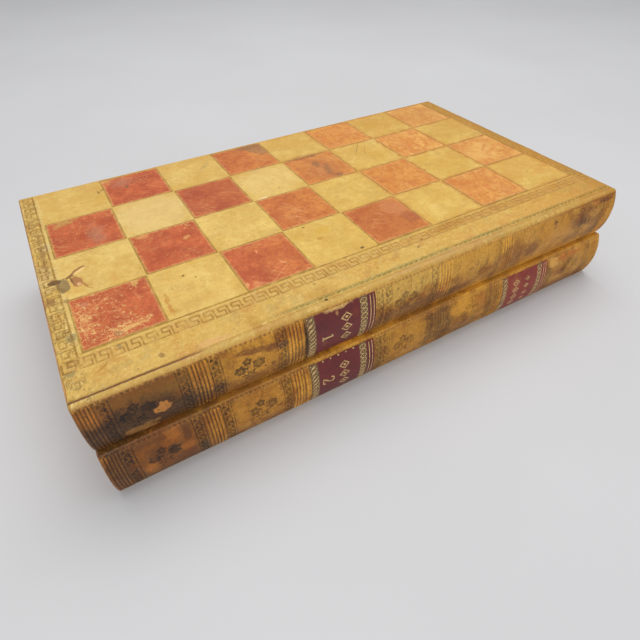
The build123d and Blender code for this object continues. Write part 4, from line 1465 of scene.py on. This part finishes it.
# %% Tree: chequered tiles
def build_tiles_tree():
    r, source, target = new_tree("Chequered tiles", {
        "Tile": None, "Files": FILES, "Ranks": RANKS, "Square": 0.048, "Left": 0.0, "Front": 0.0,
        "First Dark": 0.0, "Turn": 0.005, "Uneven": 0.006, "Ragged": 0.3 * MM, "Seed": 3,
        **WRAP_SOCKETS, **LAST_SOCKETS,
    })
    spans = [r.times(r.less(source[n], 1.0), source["Square"]) for n in ("Files", "Ranks")]
    counts = {"Vertices X": source["Files"], "Vertices Y": source["Ranks"]}
    fields = r.geo("MeshGrid", {"Size X": spans[0], "Size Y": spans[1], **counts})
    half = [r.math("MULTIPLY_ADD", span, 0.5) for span in spans]
    for socket in half:
        r.feed(socket.node.inputs[2], r.times(source["Square"], 0.5))
    middle = r.xyz(r.plus(source["Left"], half[0]), r.plus(source["Front"], half[1]))
    fields = r.shift(fields, middle)
    x, y = r.split(r.here())[:2]
    file = r.math("FLOOR", r.math("DIVIDE", r.less(x, source["Left"]), source["Square"]))
    rank = r.math("FLOOR", r.math("DIVIDE", r.less(y, source["Front"]), source["Square"]))
    parity = r.math("MODULO", r.plus(r.plus(file, rank), source["First Dark"]), 2.0)
    bare = {"Geometry": fields, "Selection": r.math("GREATER_THAN", parity, 0.5)}
    fields = r.geo("DeleteGeometry", bare, domain="POINT")
    turn = r.random(r.times(source["Turn"], -1.0), source["Turn"], source["Seed"])
    size = r.random(r.less(1.0, source["Uneven"]), 1.0, r.plus(source["Seed"], 1.0))
    shape = r.add("GeometryNodeObjectInfo", {"Object": source["Tile"]}).outputs["Geometry"]
    laid = {
        "Points": fields, "Instance": shape,
        "Rotation": r.xyz(z=turn),
        "Scale": r.xyz(size, size, 1.0),
    }
    tiles = r.geo("InstanceOnPoints", laid)
    tiles = r.geo("RealizeInstances", {"Geometry": tiles})
    tiles = fray(r, tiles, source["Ragged"], 260.0, 2.0, 0.6)
    return finish_tree(r, source, target, tiles)


tiles_tree = build_tiles_tree()
for volume, first_dark in ((upper, 0.0), (lower, 1.0)):
    values = {
        "Tile": tile, "Files": FILES, "Ranks": RANKS, "Square": SQUARE,
        "Left": volume.grid_x, "Front": volume.grid_y, "First Dark": first_dark,
        "Turn": 0.005, "Uneven": 0.006, "Ragged": 0.3 * MM, "Seed": 3 if volume is upper else 8,
        **wrap_values(volume, False), "Depth": WAVE_DEPTH, "Material": LOOKS["red_calf"],
    }
    squares = grow(f"{volume.name}_red_squares", tiles_tree, values, volume.body)
    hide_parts(f"{volume.name}_dark_squares")
bpy.data.objects.remove(tile)

# %% [markdown]
# ## A binder's tools
#
# Everything drawn on this leather was pressed into it with brass tools: wheels for the borders
# and small stamps for flowers and leaves. The same is done here. Each stamp is a small mesh made
# of low bumps, kept to a few dozen faces because it is repeated hundreds of times.


# %% Bumps and strokes
FOOT = -0.12 * MM


def in_mm(points):
    return [Vector((x * MM, y * MM)) for x, y in points]


def add_bump(bm, outline, height, slope):
    """A closed low bump. The outline runs anticlockwise, in mm, and the top is drawn in by slope."""
    corners, slope = in_mm(outline), slope * MM
    middle = sum(corners, Vector((0, 0))) / len(corners)
    foot = [bm.verts.new((c.x, c.y, FOOT)) for c in corners]
    top = []
    for corner in corners:
        inward = middle - corner
        drawn = corner + inward * min(0.6, slope / inward.length)
        top.append(bm.verts.new((drawn.x, drawn.y, height)))
    bm.faces.new(top)
    bm.faces.new(foot[::-1])
    for i in range(len(corners)):
        j = (i + 1) % len(corners)
        bm.faces.new((foot[i], foot[j], top[j], top[i]))


def add_stroke(bm, points, width, height, closed=False):
    """A raised line of constant width, in mm, with mitred corners."""
    points, width = in_mm(points), width * MM
    count = len(points)
    sections = []
    for i, point in enumerate(points):
        before = points[i - 1] if i or closed else None
        after = points[(i + 1) % count] if i < count - 1 or closed else None
        legs = [(a, b) for a, b in ((before, point), (point, after)) if a is not None and b is not None]
        runs = [(b - a).normalized() for a, b in legs]
        sides = [Vector((-run.y, run.x)) for run in runs]
        mitre = sum(sides, Vector((0, 0))).normalized()
        reach = width / 2 / max(0.35, mitre.dot(sides[0]))
        ring = [(-reach, FOOT), (reach, FOOT), (reach * 0.55, height), (-reach * 0.55, height)]
        sections.append([bm.verts.new((*(point + mitre * across), level)) for across, level in ring])
    for one, other in zip(sections, sections[1:] + (sections[:1] if closed else [])):
        for k in range(4):
            bm.faces.new((one[k], one[(k + 1) % 4], other[(k + 1) % 4], other[k]))
    if not closed:
        bm.faces.new(sections[0])
        bm.faces.new(sections[-1][::-1])


def leaf_outline(x, y, length, width, turn):
    """A pointed leaf that starts at (x, y) and runs towards turn, in degrees."""
    run = Vector((math.cos(math.radians(turn)), math.sin(math.radians(turn))))
    side = Vector((-run.y, run.x))
    shape = ((0, 0), (0.3, -0.42), (0.65, -0.36), (1, 0), (0.65, 0.36), (0.3, 0.42))
    return [tuple(Vector((x, y)) + run * length * a + side * width * b) for a, b in shape]


def disc_outline(x, y, radius, sides=6):
    turns = [2 * math.pi * i / sides for i in range(sides)]
    return [(x + radius * math.cos(t), y + radius * math.sin(t)) for t in turns]


# %% Stamps
INK_RELIEF, GILT_RELIEF = 0.12 * MM, 0.1 * MM
KEY_PITCH, KEY_WIDTH = 8.35, 7.2


def leaves(bm, slope, rows):
    """Leaves of one stamp: (x, y, length, width, turn)."""
    for row in rows:
        add_bump(bm, leaf_outline(*row), INK_RELIEF, slope)


def key_stamp(bm):
    """One turn of the Greek key."""
    path = ((0, 1), (0, 0), (0.76, 0), (0.76, 0.52), (0.34, 0.52), (0.34, 1), (1, 1))
    add_stroke(bm, [((x - 0.5) * KEY_PITCH, (y - 0.5) * KEY_WIDTH) for x, y in path], 1.35, INK_RELIEF)


def rosette_stamp(bm, x=0.0, y=0.0, size=1.0, petals=6, turn=0.0):
    for i in range(petals):
        angle = turn + 360 / petals * i
        start_x = x + 0.6 * size * math.cos(math.radians(angle))
        start_y = y + 0.6 * size * math.sin(math.radians(angle))
        leaves(bm, 0.3, [(start_x, start_y, 3.7 * size, 4.1 * size, angle)])
    add_bump(bm, disc_outline(x, y, 0.7 * size), INK_RELIEF * 1.4, 0.25)


def sprig_stamp(bm):
    """Three flowers with their stems and leaves, about 20 by 17 mm."""
    rosette_stamp(bm, -5.6, -0.6, 0.95, 6, 12.0)
    rosette_stamp(bm, -1.2, 4.4, 0.75, 5, 90.0)
    rosette_stamp(bm, 5.4, 1.0, 1.05, 6, 30.0)
    add_stroke(bm, ((-1.0, -8.4), (-1.4, -3.6), (-1.2, 1.6)), 0.7, INK_RELIEF)
    add_stroke(bm, ((-1.1, -7.0), (-3.4, -4.8), (-4.8, -3.0)), 0.7, INK_RELIEF)
    add_stroke(bm, ((-1.0, -7.4), (2.2, -5.0), (4.4, -2.2)), 0.7, INK_RELIEF)
    leaves(bm, 0.3, (
        (-1.6, -5.0, 3.8, 2.0, 20), (-2.2, -6.2, 3.6, 1.9, 172), (0.8, -6.2, 3.8, 2.0, -12),
        (1.6, -5.0, 3.4, 1.8, 70), (-2.2, -1.6, 2.8, 1.5, 60), (-1.4, -8.2, 2.8, 1.6, 205),
        (8.6, -2.8, 2.4, 1.4, -50),
    ))


def scroll_stamp(bm):
    """One repeat of the leaf roll that runs up and down the spine, 6 by 5.2 mm."""
    add_stroke(bm, ((-2.1, -2.5), (-0.6, -1.3), (1.0, -0.2), (1.9, 1.2), (1.0, 2.4)), 1.0, INK_RELIEF)
    leaves(bm, 0.25, (
        (-1.9, 0.0, 2.8, 2.0, 70), (1.7, -2.5, 2.6, 1.9, 110), (0.0, 0.6, 2.4, 1.6, 150),
        (-0.4, -1.7, 2.2, 1.5, -20),
    ))


def scallop_stamp(bm):
    """A dogtooth of the row along the spine's upper edge."""
    add_bump(bm, ((-1.3, 0.9), (-1.0, -0.3), (0.0, -1.1), (1.0, -0.3), (1.3, 0.9)), INK_RELIEF, 0.3)


def dot_stamp(bm):
    add_bump(bm, disc_outline(0, 0, 0.55), GILT_RELIEF, 0.2)


def dash_stamp(bm):
    """A slanting leaf and its bud, of the roll along the face."""
    add_bump(bm, leaf_outline(-1.9, -0.8, 3.8, 1.7, 22), INK_RELIEF * 0.7, 0.3)
    add_bump(bm, disc_outline(-0.9, 0.8, 0.5, 5), INK_RELIEF * 0.7, 0.2)


def rope_stamp(bm):
    """A slanting leaf of the gilt rope."""
    add_bump(bm, leaf_outline(-1.9, -1.3, 4.6, 1.7, 34), GILT_RELIEF, 0.25)
    for x, y in ((-1.6, 1.1), (1.7, -1.1)):
        add_bump(bm, disc_outline(x, y, 0.45), GILT_RELIEF, 0.15)


def loop_stamp(bm):
    """A link of the gilt chain."""
    turns = [2 * math.pi * i / 10 for i in range(10)]
    ring = [(1.9 * math.cos(t) + 0.35 * math.sin(t), 1.45 * math.sin(t)) for t in turns]
    add_stroke(bm, ring, 0.6, GILT_RELIEF, closed=True)
    add_bump(bm, disc_outline(0, 0, 0.4), GILT_RELIEF, 0.15)


def lozenge_stamp(bm):
    """A plain ornament: a lozenge in an open frame, 8 by 7 mm."""
    add_bump(bm, ((1.5, 0), (0, 1.3), (-1.5, 0), (0, -1.3)), GILT_RELIEF, 0.3)
    add_stroke(bm, ((3.5, 0), (0, 3.0), (-3.5, 0), (0, -3.0)), 1.1, GILT_RELIEF, closed=True)


def one_stamp(bm):
    """A plain 1, about 7 mm tall."""
    add_stroke(bm, ((0.3, -3.3), (0.3, 3.3)), 1.6, GILT_RELIEF)
    add_stroke(bm, ((0.3, 3.2), (-0.6, 2.5), (-1.5, 2.2)), 1.0, GILT_RELIEF * 0.9)
    add_stroke(bm, ((-1.5, -3.4), (2.1, -3.4)), 0.9, GILT_RELIEF * 1.1)


def two_stamp(bm):
    """A plain 2, about 7.5 mm tall."""
    bow = ((-2.0, 1.7), (-1.9, 2.7), (-1.0, 3.5), (0.3, 3.6), (1.4, 2.9), (1.6, 1.7))
    add_stroke(bm, (*bow, (0.9, 0.3), (-0.6, -1.4), (-2.1, -3.2)), 1.25, GILT_RELIEF)
    add_stroke(bm, ((-2.3, -3.3), (0.4, -3.4), (2.0, -3.2), (2.3, -2.1)), 1.2, GILT_RELIEF * 1.1)


STAMPS = [key_stamp, rosette_stamp, sprig_stamp, scroll_stamp, scallop_stamp, dot_stamp, rope_stamp,
          loop_stamp, lozenge_stamp, one_stamp, two_stamp, dash_stamp]


def make_stamps():
    """One object per stamp, named so that their order is kept, in a collection of their own."""
    drawer = bpy.data.collections.new("binders_tools")
    for number, draw in enumerate(STAMPS):
        bm = bmesh.new()
        draw(bm)
        mesh = end_bmesh(bm, f"stamp_{number:02d}")
        drawer.objects.link(bpy.data.objects.new(mesh.name, mesh))
        print(f"  {draw.__name__}: {len(mesh.polygons)} faces")
    return drawer


stamp_drawer = make_stamps()


# %% Layouts
class Layout:
    """Where lines and stamps go on flat leather: along the case, and across it."""

    def __init__(self):
        self.places, self.edges, self.stamps, self.turns, self.sizes = [], [], [], [], []

    def add(self, x, across, stamp=-1, turn=0.0, size=(1.0, 1.0, 1.0)):
        self.places.append((x, across, 0.0))
        self.stamps.append(stamp)
        self.turns.append(math.radians(turn))
        self.sizes.append(size)

    def line(self, *points):
        first = len(self.places)
        for x, across in points:
            self.add(x, across)
        self.edges += [(first + i, first + i + 1) for i in range(len(points) - 1)]

    def press(self, stamp, x, across, turn=0.0, size=1.0):
        self.add(x, across, STAMPS.index(stamp), turn, (size, size, 1.0))

    def row(self, stamp, start, stop, pitch, turn=0.0, size=1.0):
        """Stamps from start to stop, as near to the pitch as whole repeats allow."""
        start, stop = Vector(start), Vector(stop)
        count = max(1, round((stop - start).length / pitch))
        for i in range(count):
            place = start.lerp(stop, (i + 0.5) / count)
            self.press(stamp, place.x, place.y, turn, size)

    def mesh(self, name):
        mesh = bpy.data.meshes.new(name)
        mesh.from_pydata(self.places, self.edges, [])
        mesh.attributes.new("stamp", "INT", "POINT").data.foreach_set("value", self.stamps)
        mesh.attributes.new("turn", "FLOAT", "POINT").data.foreach_set("value", self.turns)
        flat_sizes = [value for size in self.sizes for value in size]
        mesh.attributes.new("size", "FLOAT_VECTOR", "POINT").data.foreach_set("vector", flat_sizes)
        return mesh


# %% Tree: tooling
LABEL_RISE = 0.3 * MM


def build_tooling_tree():
    """Presses stamps at loose points and runs fillets along edges, then wraps both on to the case."""
    r, source, target = new_tree("Binder's tooling", {
        "Stamps": None, "Line Width": 0.7 * MM, "Line Relief": 0.1 * MM, "Step": 3 * MM,
        "Slip": 0.02, "Seed": 5, **WRAP_SOCKETS, **LAST_SOCKETS,
    })

    def attribute(name, data_type):
        node = r.add("GeometryNodeInputNamedAttribute", {"Name": name}, data_type=data_type)
        return node.outputs["Attribute"]

    loose = r.math("LESS_THAN", attribute("stamp", "INT"), -0.5)
    chosen = {"Geometry": source["Geometry"], "Selection": loose}
    parts = r.add("GeometryNodeSeparateGeometry", chosen, domain="POINT").outputs
    curves = r.geo("MeshToCurve", {"Mesh": parts["Selection"]})
    curves = r.geo("ResampleCurve", {"Curve": curves, "Length": source["Step"]}, mode="LENGTH")
    half_width = r.times(source["Line Width"], 0.5)
    profile = r.geo("CurvePrimitiveCircle", {"Resolution": 6, "Radius": half_width})
    swept = {"Curve": curves, "Profile Curve": profile, "Fill Caps": True}
    fillets = r.geo("CurveToMesh", swept)
    flatten = r.xyz(1.0, 1.0, r.math("DIVIDE", source["Line Relief"], half_width))
    here = r.here()
    flat = {"Geometry": fillets, "Position": r.vector("MULTIPLY", here, flatten)}
    fillets = r.geo("SetPosition", flat)

    drawer = {"Collection": source["Stamps"], "Separate Children": True, "Reset Children": True}
    tools = r.geo("CollectionInfo", drawer)
    slip = r.random(r.times(source["Slip"], -1.0), source["Slip"], source["Seed"])
    turn = r.plus(attribute("turn", "FLOAT"), slip)
    pressed = {
        "Points": parts["Inverted"], "Instance": tools, "Pick Instance": True,
        "Instance Index": attribute("stamp", "INT"),
        "Rotation": r.xyz(z=turn), "Scale": attribute("size", "FLOAT_VECTOR"),
    }
    stamps = r.geo("InstanceOnPoints", pressed)
    stamps = r.geo("RealizeInstances", {"Geometry": stamps})
    joined = r.add("GeometryNodeJoinGeometry")
    r.tree.links.new(stamps, joined.inputs[0])
    r.tree.links.new(fillets, joined.inputs[0])
    return finish_tree(r, source, target, joined.outputs[0])


tooling_tree = build_tooling_tree()


def tool(volume, part, layout, ink, slot, width, relief, step=3.0, slip=0.02):
    """Presses one layout into the side of a volume that has this slot. Sizes are in mm."""
    wrap = wrap_values(volume, slot != "buff_calf")
    if slot == "label_calf":
        wrap["Radius"] += LABEL_RISE
    values = {
        "Stamps": stamp_drawer, "Line Width": width * MM, "Line Relief": relief * MM, "Step": step * MM,
        "Slip": slip, "Seed": 5, **wrap, "Depth": WAVE_DEPTH, "Material": LOOKS[ink],
    }
    name = f"{volume.name}_{part}"
    piece = grow(name, tooling_tree, values, volume.body, layout.mesh(name), smooth_angle=50.0)


# %% [markdown]
# ## The border and the rules of the board
#
# A rule runs round every square, a Greek key follows the board's open sides, and a roll of small
# leaves lies near the spine. All are blind, that is without gold. The key turns the corner by starting
# each side afresh, as a wheel does when the binder lifts it.


# %% Face tooling
def rules_layout(volume, first_dark):
    """A rule round each red square, just at its edge."""
    layout = Layout()
    reach_x, reach_y = TILE_X / 2 + 0.35 * MM, TILE_Y / 2 + 0.35 * MM
    for file in range(FILES):
        for rank in range(RANKS):
            if (file + rank + first_dark) % 2 == 0:
                x = volume.grid_x + SQUARE * (file + 0.5)
                y = volume.grid_y + SQUARE * (rank + 0.5) + TILE_SHIFT
                turns = ((-1, -1), (1, -1), (1, 1), (-1, 1))
                corners = [(x + a * reach_x, y + b * reach_y) for a, b in turns]
                for one, other in zip(corners, corners[1:] + corners[:1]):
                    layout.line(one, other)
    left, front = volume.grid_x, volume.grid_y
    layout.line((left, front - 0.9 * MM), (-left, front - 0.9 * MM))
    for side in (left - 2.4 * MM, -left + 0.6 * MM):
        layout.line((side, front - 0.9 * MM), (side, front + RANKS * SQUARE))
    return layout


def border_layout(volume):
    layout = Layout()
    left, front = volume.grid_x, volume.grid_y
    end, back = volume.half_length, front + RANKS * SQUARE
    band = front - 8.0 * MM
    layout.row(key_stamp, (-end + 1.8 * MM, band), (end - 1.8 * MM, band), KEY_PITCH * MM)
    for side, turn in ((-1, 90), (1, -90)):
        x = side * (-left + 5.9 * MM)
        layout.row(key_stamp, (x, front - 3.5 * MM), (x, back - 1.0 * MM), KEY_PITCH * MM, turn)
    return layout


def roll_layout(volume):
    layout = Layout()
    end, y = volume.half_length - 3 * MM, volume.grid_y - 28 * MM
    layout.row(dash_stamp, (-end, y), (end, y), 4.2 * MM, 0, 1.5)
    return layout


for volume in VOLUMES:
    rules = rules_layout(volume, 0 if volume is upper else 1)
    tool(volume, "square_rules", rules, "rule_ink", "buff_calf", 1.15, 0.09, step=4.0)
    tool(volume, "key_border", border_layout(volume), "key_ink", "buff_calf", 0.6, 0.1, step=4.0)
    tool(volume, "leaf_roll", roll_layout(volume), "roll_ink", "buff_calf", 0.6, 0.1)

# %% [markdown]
# ## The spines
#
# A spine is divided into panels by bands: five raised ridges between two rolls of leaves. Each
# panel carries a sprig of three flowers. The flat layout is written in chess squares along the
# case and in millimetres up the spine, and the wrap bends it round the leather.

# %% Spine layout
# Each band is (kind, from, to) in chess squares from the first file.
SPINE_BANDS = [
    ("ridges", -0.25, -0.06), ("roll", -0.06, 0.09), ("roll", 0.80, 0.93), ("ridges", 0.94, 1.16),
    ("roll", 1.17, 1.30), ("roll", 2.00, 2.13), ("ridges", 2.14, 2.37), ("roll", 3.45, 3.69),
    ("roll", 4.36, 4.47), ("ridges", 4.48, 4.74), ("roll", 4.75, 4.87), ("roll", 5.55, 5.66),
    ("ridges", 5.68, 5.92), ("roll", 7.86, 7.97), ("ridges", 7.98, 8.22),
]
# Each sprig is (along, up), in millimetres from the case's middle and from the spine's.
SPRIGS = {
    "upper": [(-177.0, 1.8), (-114.2, 0.2), (-3.5, 0.8), (58.5, 2.2), (168.0, 2.4)],
    "lower": [(-173.0, 1.2), (-111.0, 2.6), (-2.5, 2.4), (58.5, 3.0), (169.0, 3.4)],
}


def spine_reach(volume):
    """How far up and down the spine its plain arc goes, measured round it."""
    half, radius = volume.thickness / 2, volume.radius
    angles = [math.asin((half - ease) / (radius - ease)) for ease in (FACE_SPINE_RADIUS, RIM_SPINE_RADIUS)]
    to_face, to_rim = [radius * angle - 0.3 * MM for angle in angles]
    return (-to_rim, to_face) if volume.outward > 0 else (-to_face, to_rim)


def spine_layouts(volume):
    """Dark tooling, light ridges, the valleys between them and the row of scallops, as four layouts."""
    ink, ridges, valleys, scallops = Layout(), Layout(), Layout(), Layout()
    low, high = spine_reach(volume)
    for kind, first, last in SPINE_BANDS:
        start, stop = volume.grid_x + SQUARE * first, volume.grid_x + SQUARE * last
        if kind == "roll":
            lanes = 2 if stop - start > 9 * MM else 1
            for lane in range(lanes):
                x = start + (stop - start) * (lane + 0.5) / lanes
                ink.row(scroll_stamp, (x, low + 0.5 * MM), (x, high - 2 * MM), 5.0 * MM, 180 * (lane % 2))
            for x in (start, stop):
                valleys.line((x, low), (x, high - 1.2 * MM))
        else:
            for i in range(5):
                x = start + (stop - start) * (i + 0.5) / 5
                ridges.line((x, low), (x, high - 1.2 * MM))
                if i:
                    gap = x - (stop - start) / 10
                    valleys.line((gap, low), (gap, high - 1.2 * MM))
    for along, up in SPRIGS[volume.name]:
        ink.press(sprig_stamp, along * MM, up * MM, size=1.05)
    end = volume.half_length - 2.5 * MM
    scallops.row(scallop_stamp, (-end, high - 0.9 * MM), (end, high - 0.9 * MM), 2.9 * MM)
    return ink, ridges, valleys, scallops


for volume in VOLUMES:
    ink, ridges, valleys, scallops = spine_layouts(volume)
    tool(volume, "spine_valleys", valleys, "valley_ink", "spine_calf", 0.9, 0.06)
    tool(volume, "spine_tooling", ink, "spine_ink", "spine_calf", 0.9, 0.08, slip=0.06)
    tool(volume, "spine_ridges", ridges, "spine_ridge", "spine_calf", 1.2, 0.3)
    tool(volume, "scallops", scallops, "scallop_ink", "spine_calf", 0.7, 0.08, slip=0.1)

# %% [markdown]
# ## Labels
#
# A label is one thin slab of cells, wrapped on to the spine like the tooling. Its gilt lies on it,
# so its layout is lifted by the label's thickness. The numbers stand sideways, as on books that
# lie flat, and plain lozenges fill the places beside them.

# %% Label slabs
def build_label(volume, part, finish):
    """A label wrapped on to its spine, in place of the CAD one."""
    low_corner, high_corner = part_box(f"{volume.name}_{part}")
    heights = (low_corner.z - volume.middle_z, high_corner.z - volume.middle_z)
    reach = [volume.radius * math.asin(height / volume.radius) for height in heights]
    width, middle = high_corner.x - low_corner.x, (high_corner.x + low_corner.x) / 2
    mesh = slab_mesh(part, width, reach[1] - reach[0], -0.4 * MM, LABEL_RISE, 1.5 * MM, 0.2 * MM)
    mesh.transform(Matrix.Translation((middle, (reach[0] + reach[1]) / 2, 0)))
    mesh.materials.append(LOOKS[finish])
    wrap = wrap_values(volume, True)
    values = {**wrap, "Depth": WAVE_DEPTH, "Material": LOOKS[finish], "Ragged": 0.5 * MM}
    piece = grow(f"{volume.name}_{part}_leather", label_tree, values, volume.body, mesh)
    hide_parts(f"{volume.name}_{part}")
    return middle, reach


def build_label_tree():
    """Frays a slab's outline a little, wraps it and gives it its wave and its material."""
    r, source, target = new_tree("Label", {"Ragged": 0.4 * MM, **WRAP_SOCKETS, **LAST_SOCKETS})
    frayed = fray(r, source["Geometry"], source["Ragged"], 220.0, 3.0, 0.7)
    return finish_tree(r, source, target, frayed)


label_tree = build_label_tree()


# %% Label gilt
def frame_gilt(middle, reach):
    """What all labels share: a rope, a chain and a double line."""
    layout = Layout()
    low, high = reach[0] + 0.6 * MM, reach[1] - 0.8 * MM
    layout.row(rope_stamp, (middle - 21.6 * MM, low), (middle - 21.6 * MM, high), 3.2 * MM, 0, 1.2)
    layout.row(loop_stamp, (middle + 15.5 * MM, low), (middle + 15.5 * MM, high), 3.6 * MM, 0, 1.15)
    for x in (20.4 * MM, 22.8 * MM):
        layout.line((middle + x, low), (middle + x, high))
    return layout


def number_gilt(volume, middle, reach):
    """A number, standing sideways, beside three lozenges."""
    layout = frame_gilt(middle, reach)
    if volume is upper:
        layout.press(one_stamp, middle - 10.7 * MM, -2.7 * MM, -90, 1.1)
        lozenges_x = 2.7 * MM
    else:
        layout.press(two_stamp, middle - 12.0 * MM, 0.0, -90, 1.15)
        lozenges_x = 0.5 * MM
        high = reach[1] - 0.9 * MM
        layout.row(dot_stamp, (middle - 17.5 * MM, high), (middle + 11.5 * MM, high), 5.7 * MM, 0, 1.6)
    for up in (-8.2, -0.2, 7.8):
        layout.press(lozenge_stamp, middle + lozenges_x, up * MM)
    return layout


def title_gilt(middle, reach):
    """Two columns of lozenges in place of a title."""
    layout = frame_gilt(middle, reach)
    for up in (-9.9, -3.3, 3.3, 9.9):
        layout.press(lozenge_stamp, middle - 9.5 * MM, up * MM, 0, 0.85)
        layout.press(lozenge_stamp, middle + 2.4 * MM, up * MM, 0, 0.62)
    return layout


for volume in (upper, lower):
    middle, reach = build_label(volume, "number_label", "number_calf")
    gilt = number_gilt(volume, middle, reach)
    tool(volume, "number_gilt", gilt, "rubbed_gilt", "label_calf", 0.7, 0.1)
middle, reach = build_label(lower, "title_label", "title_calf")
tool(lower, "title_gilt", title_gilt(middle, reach), "rubbed_gilt", "label_calf", 0.7, 0.1)
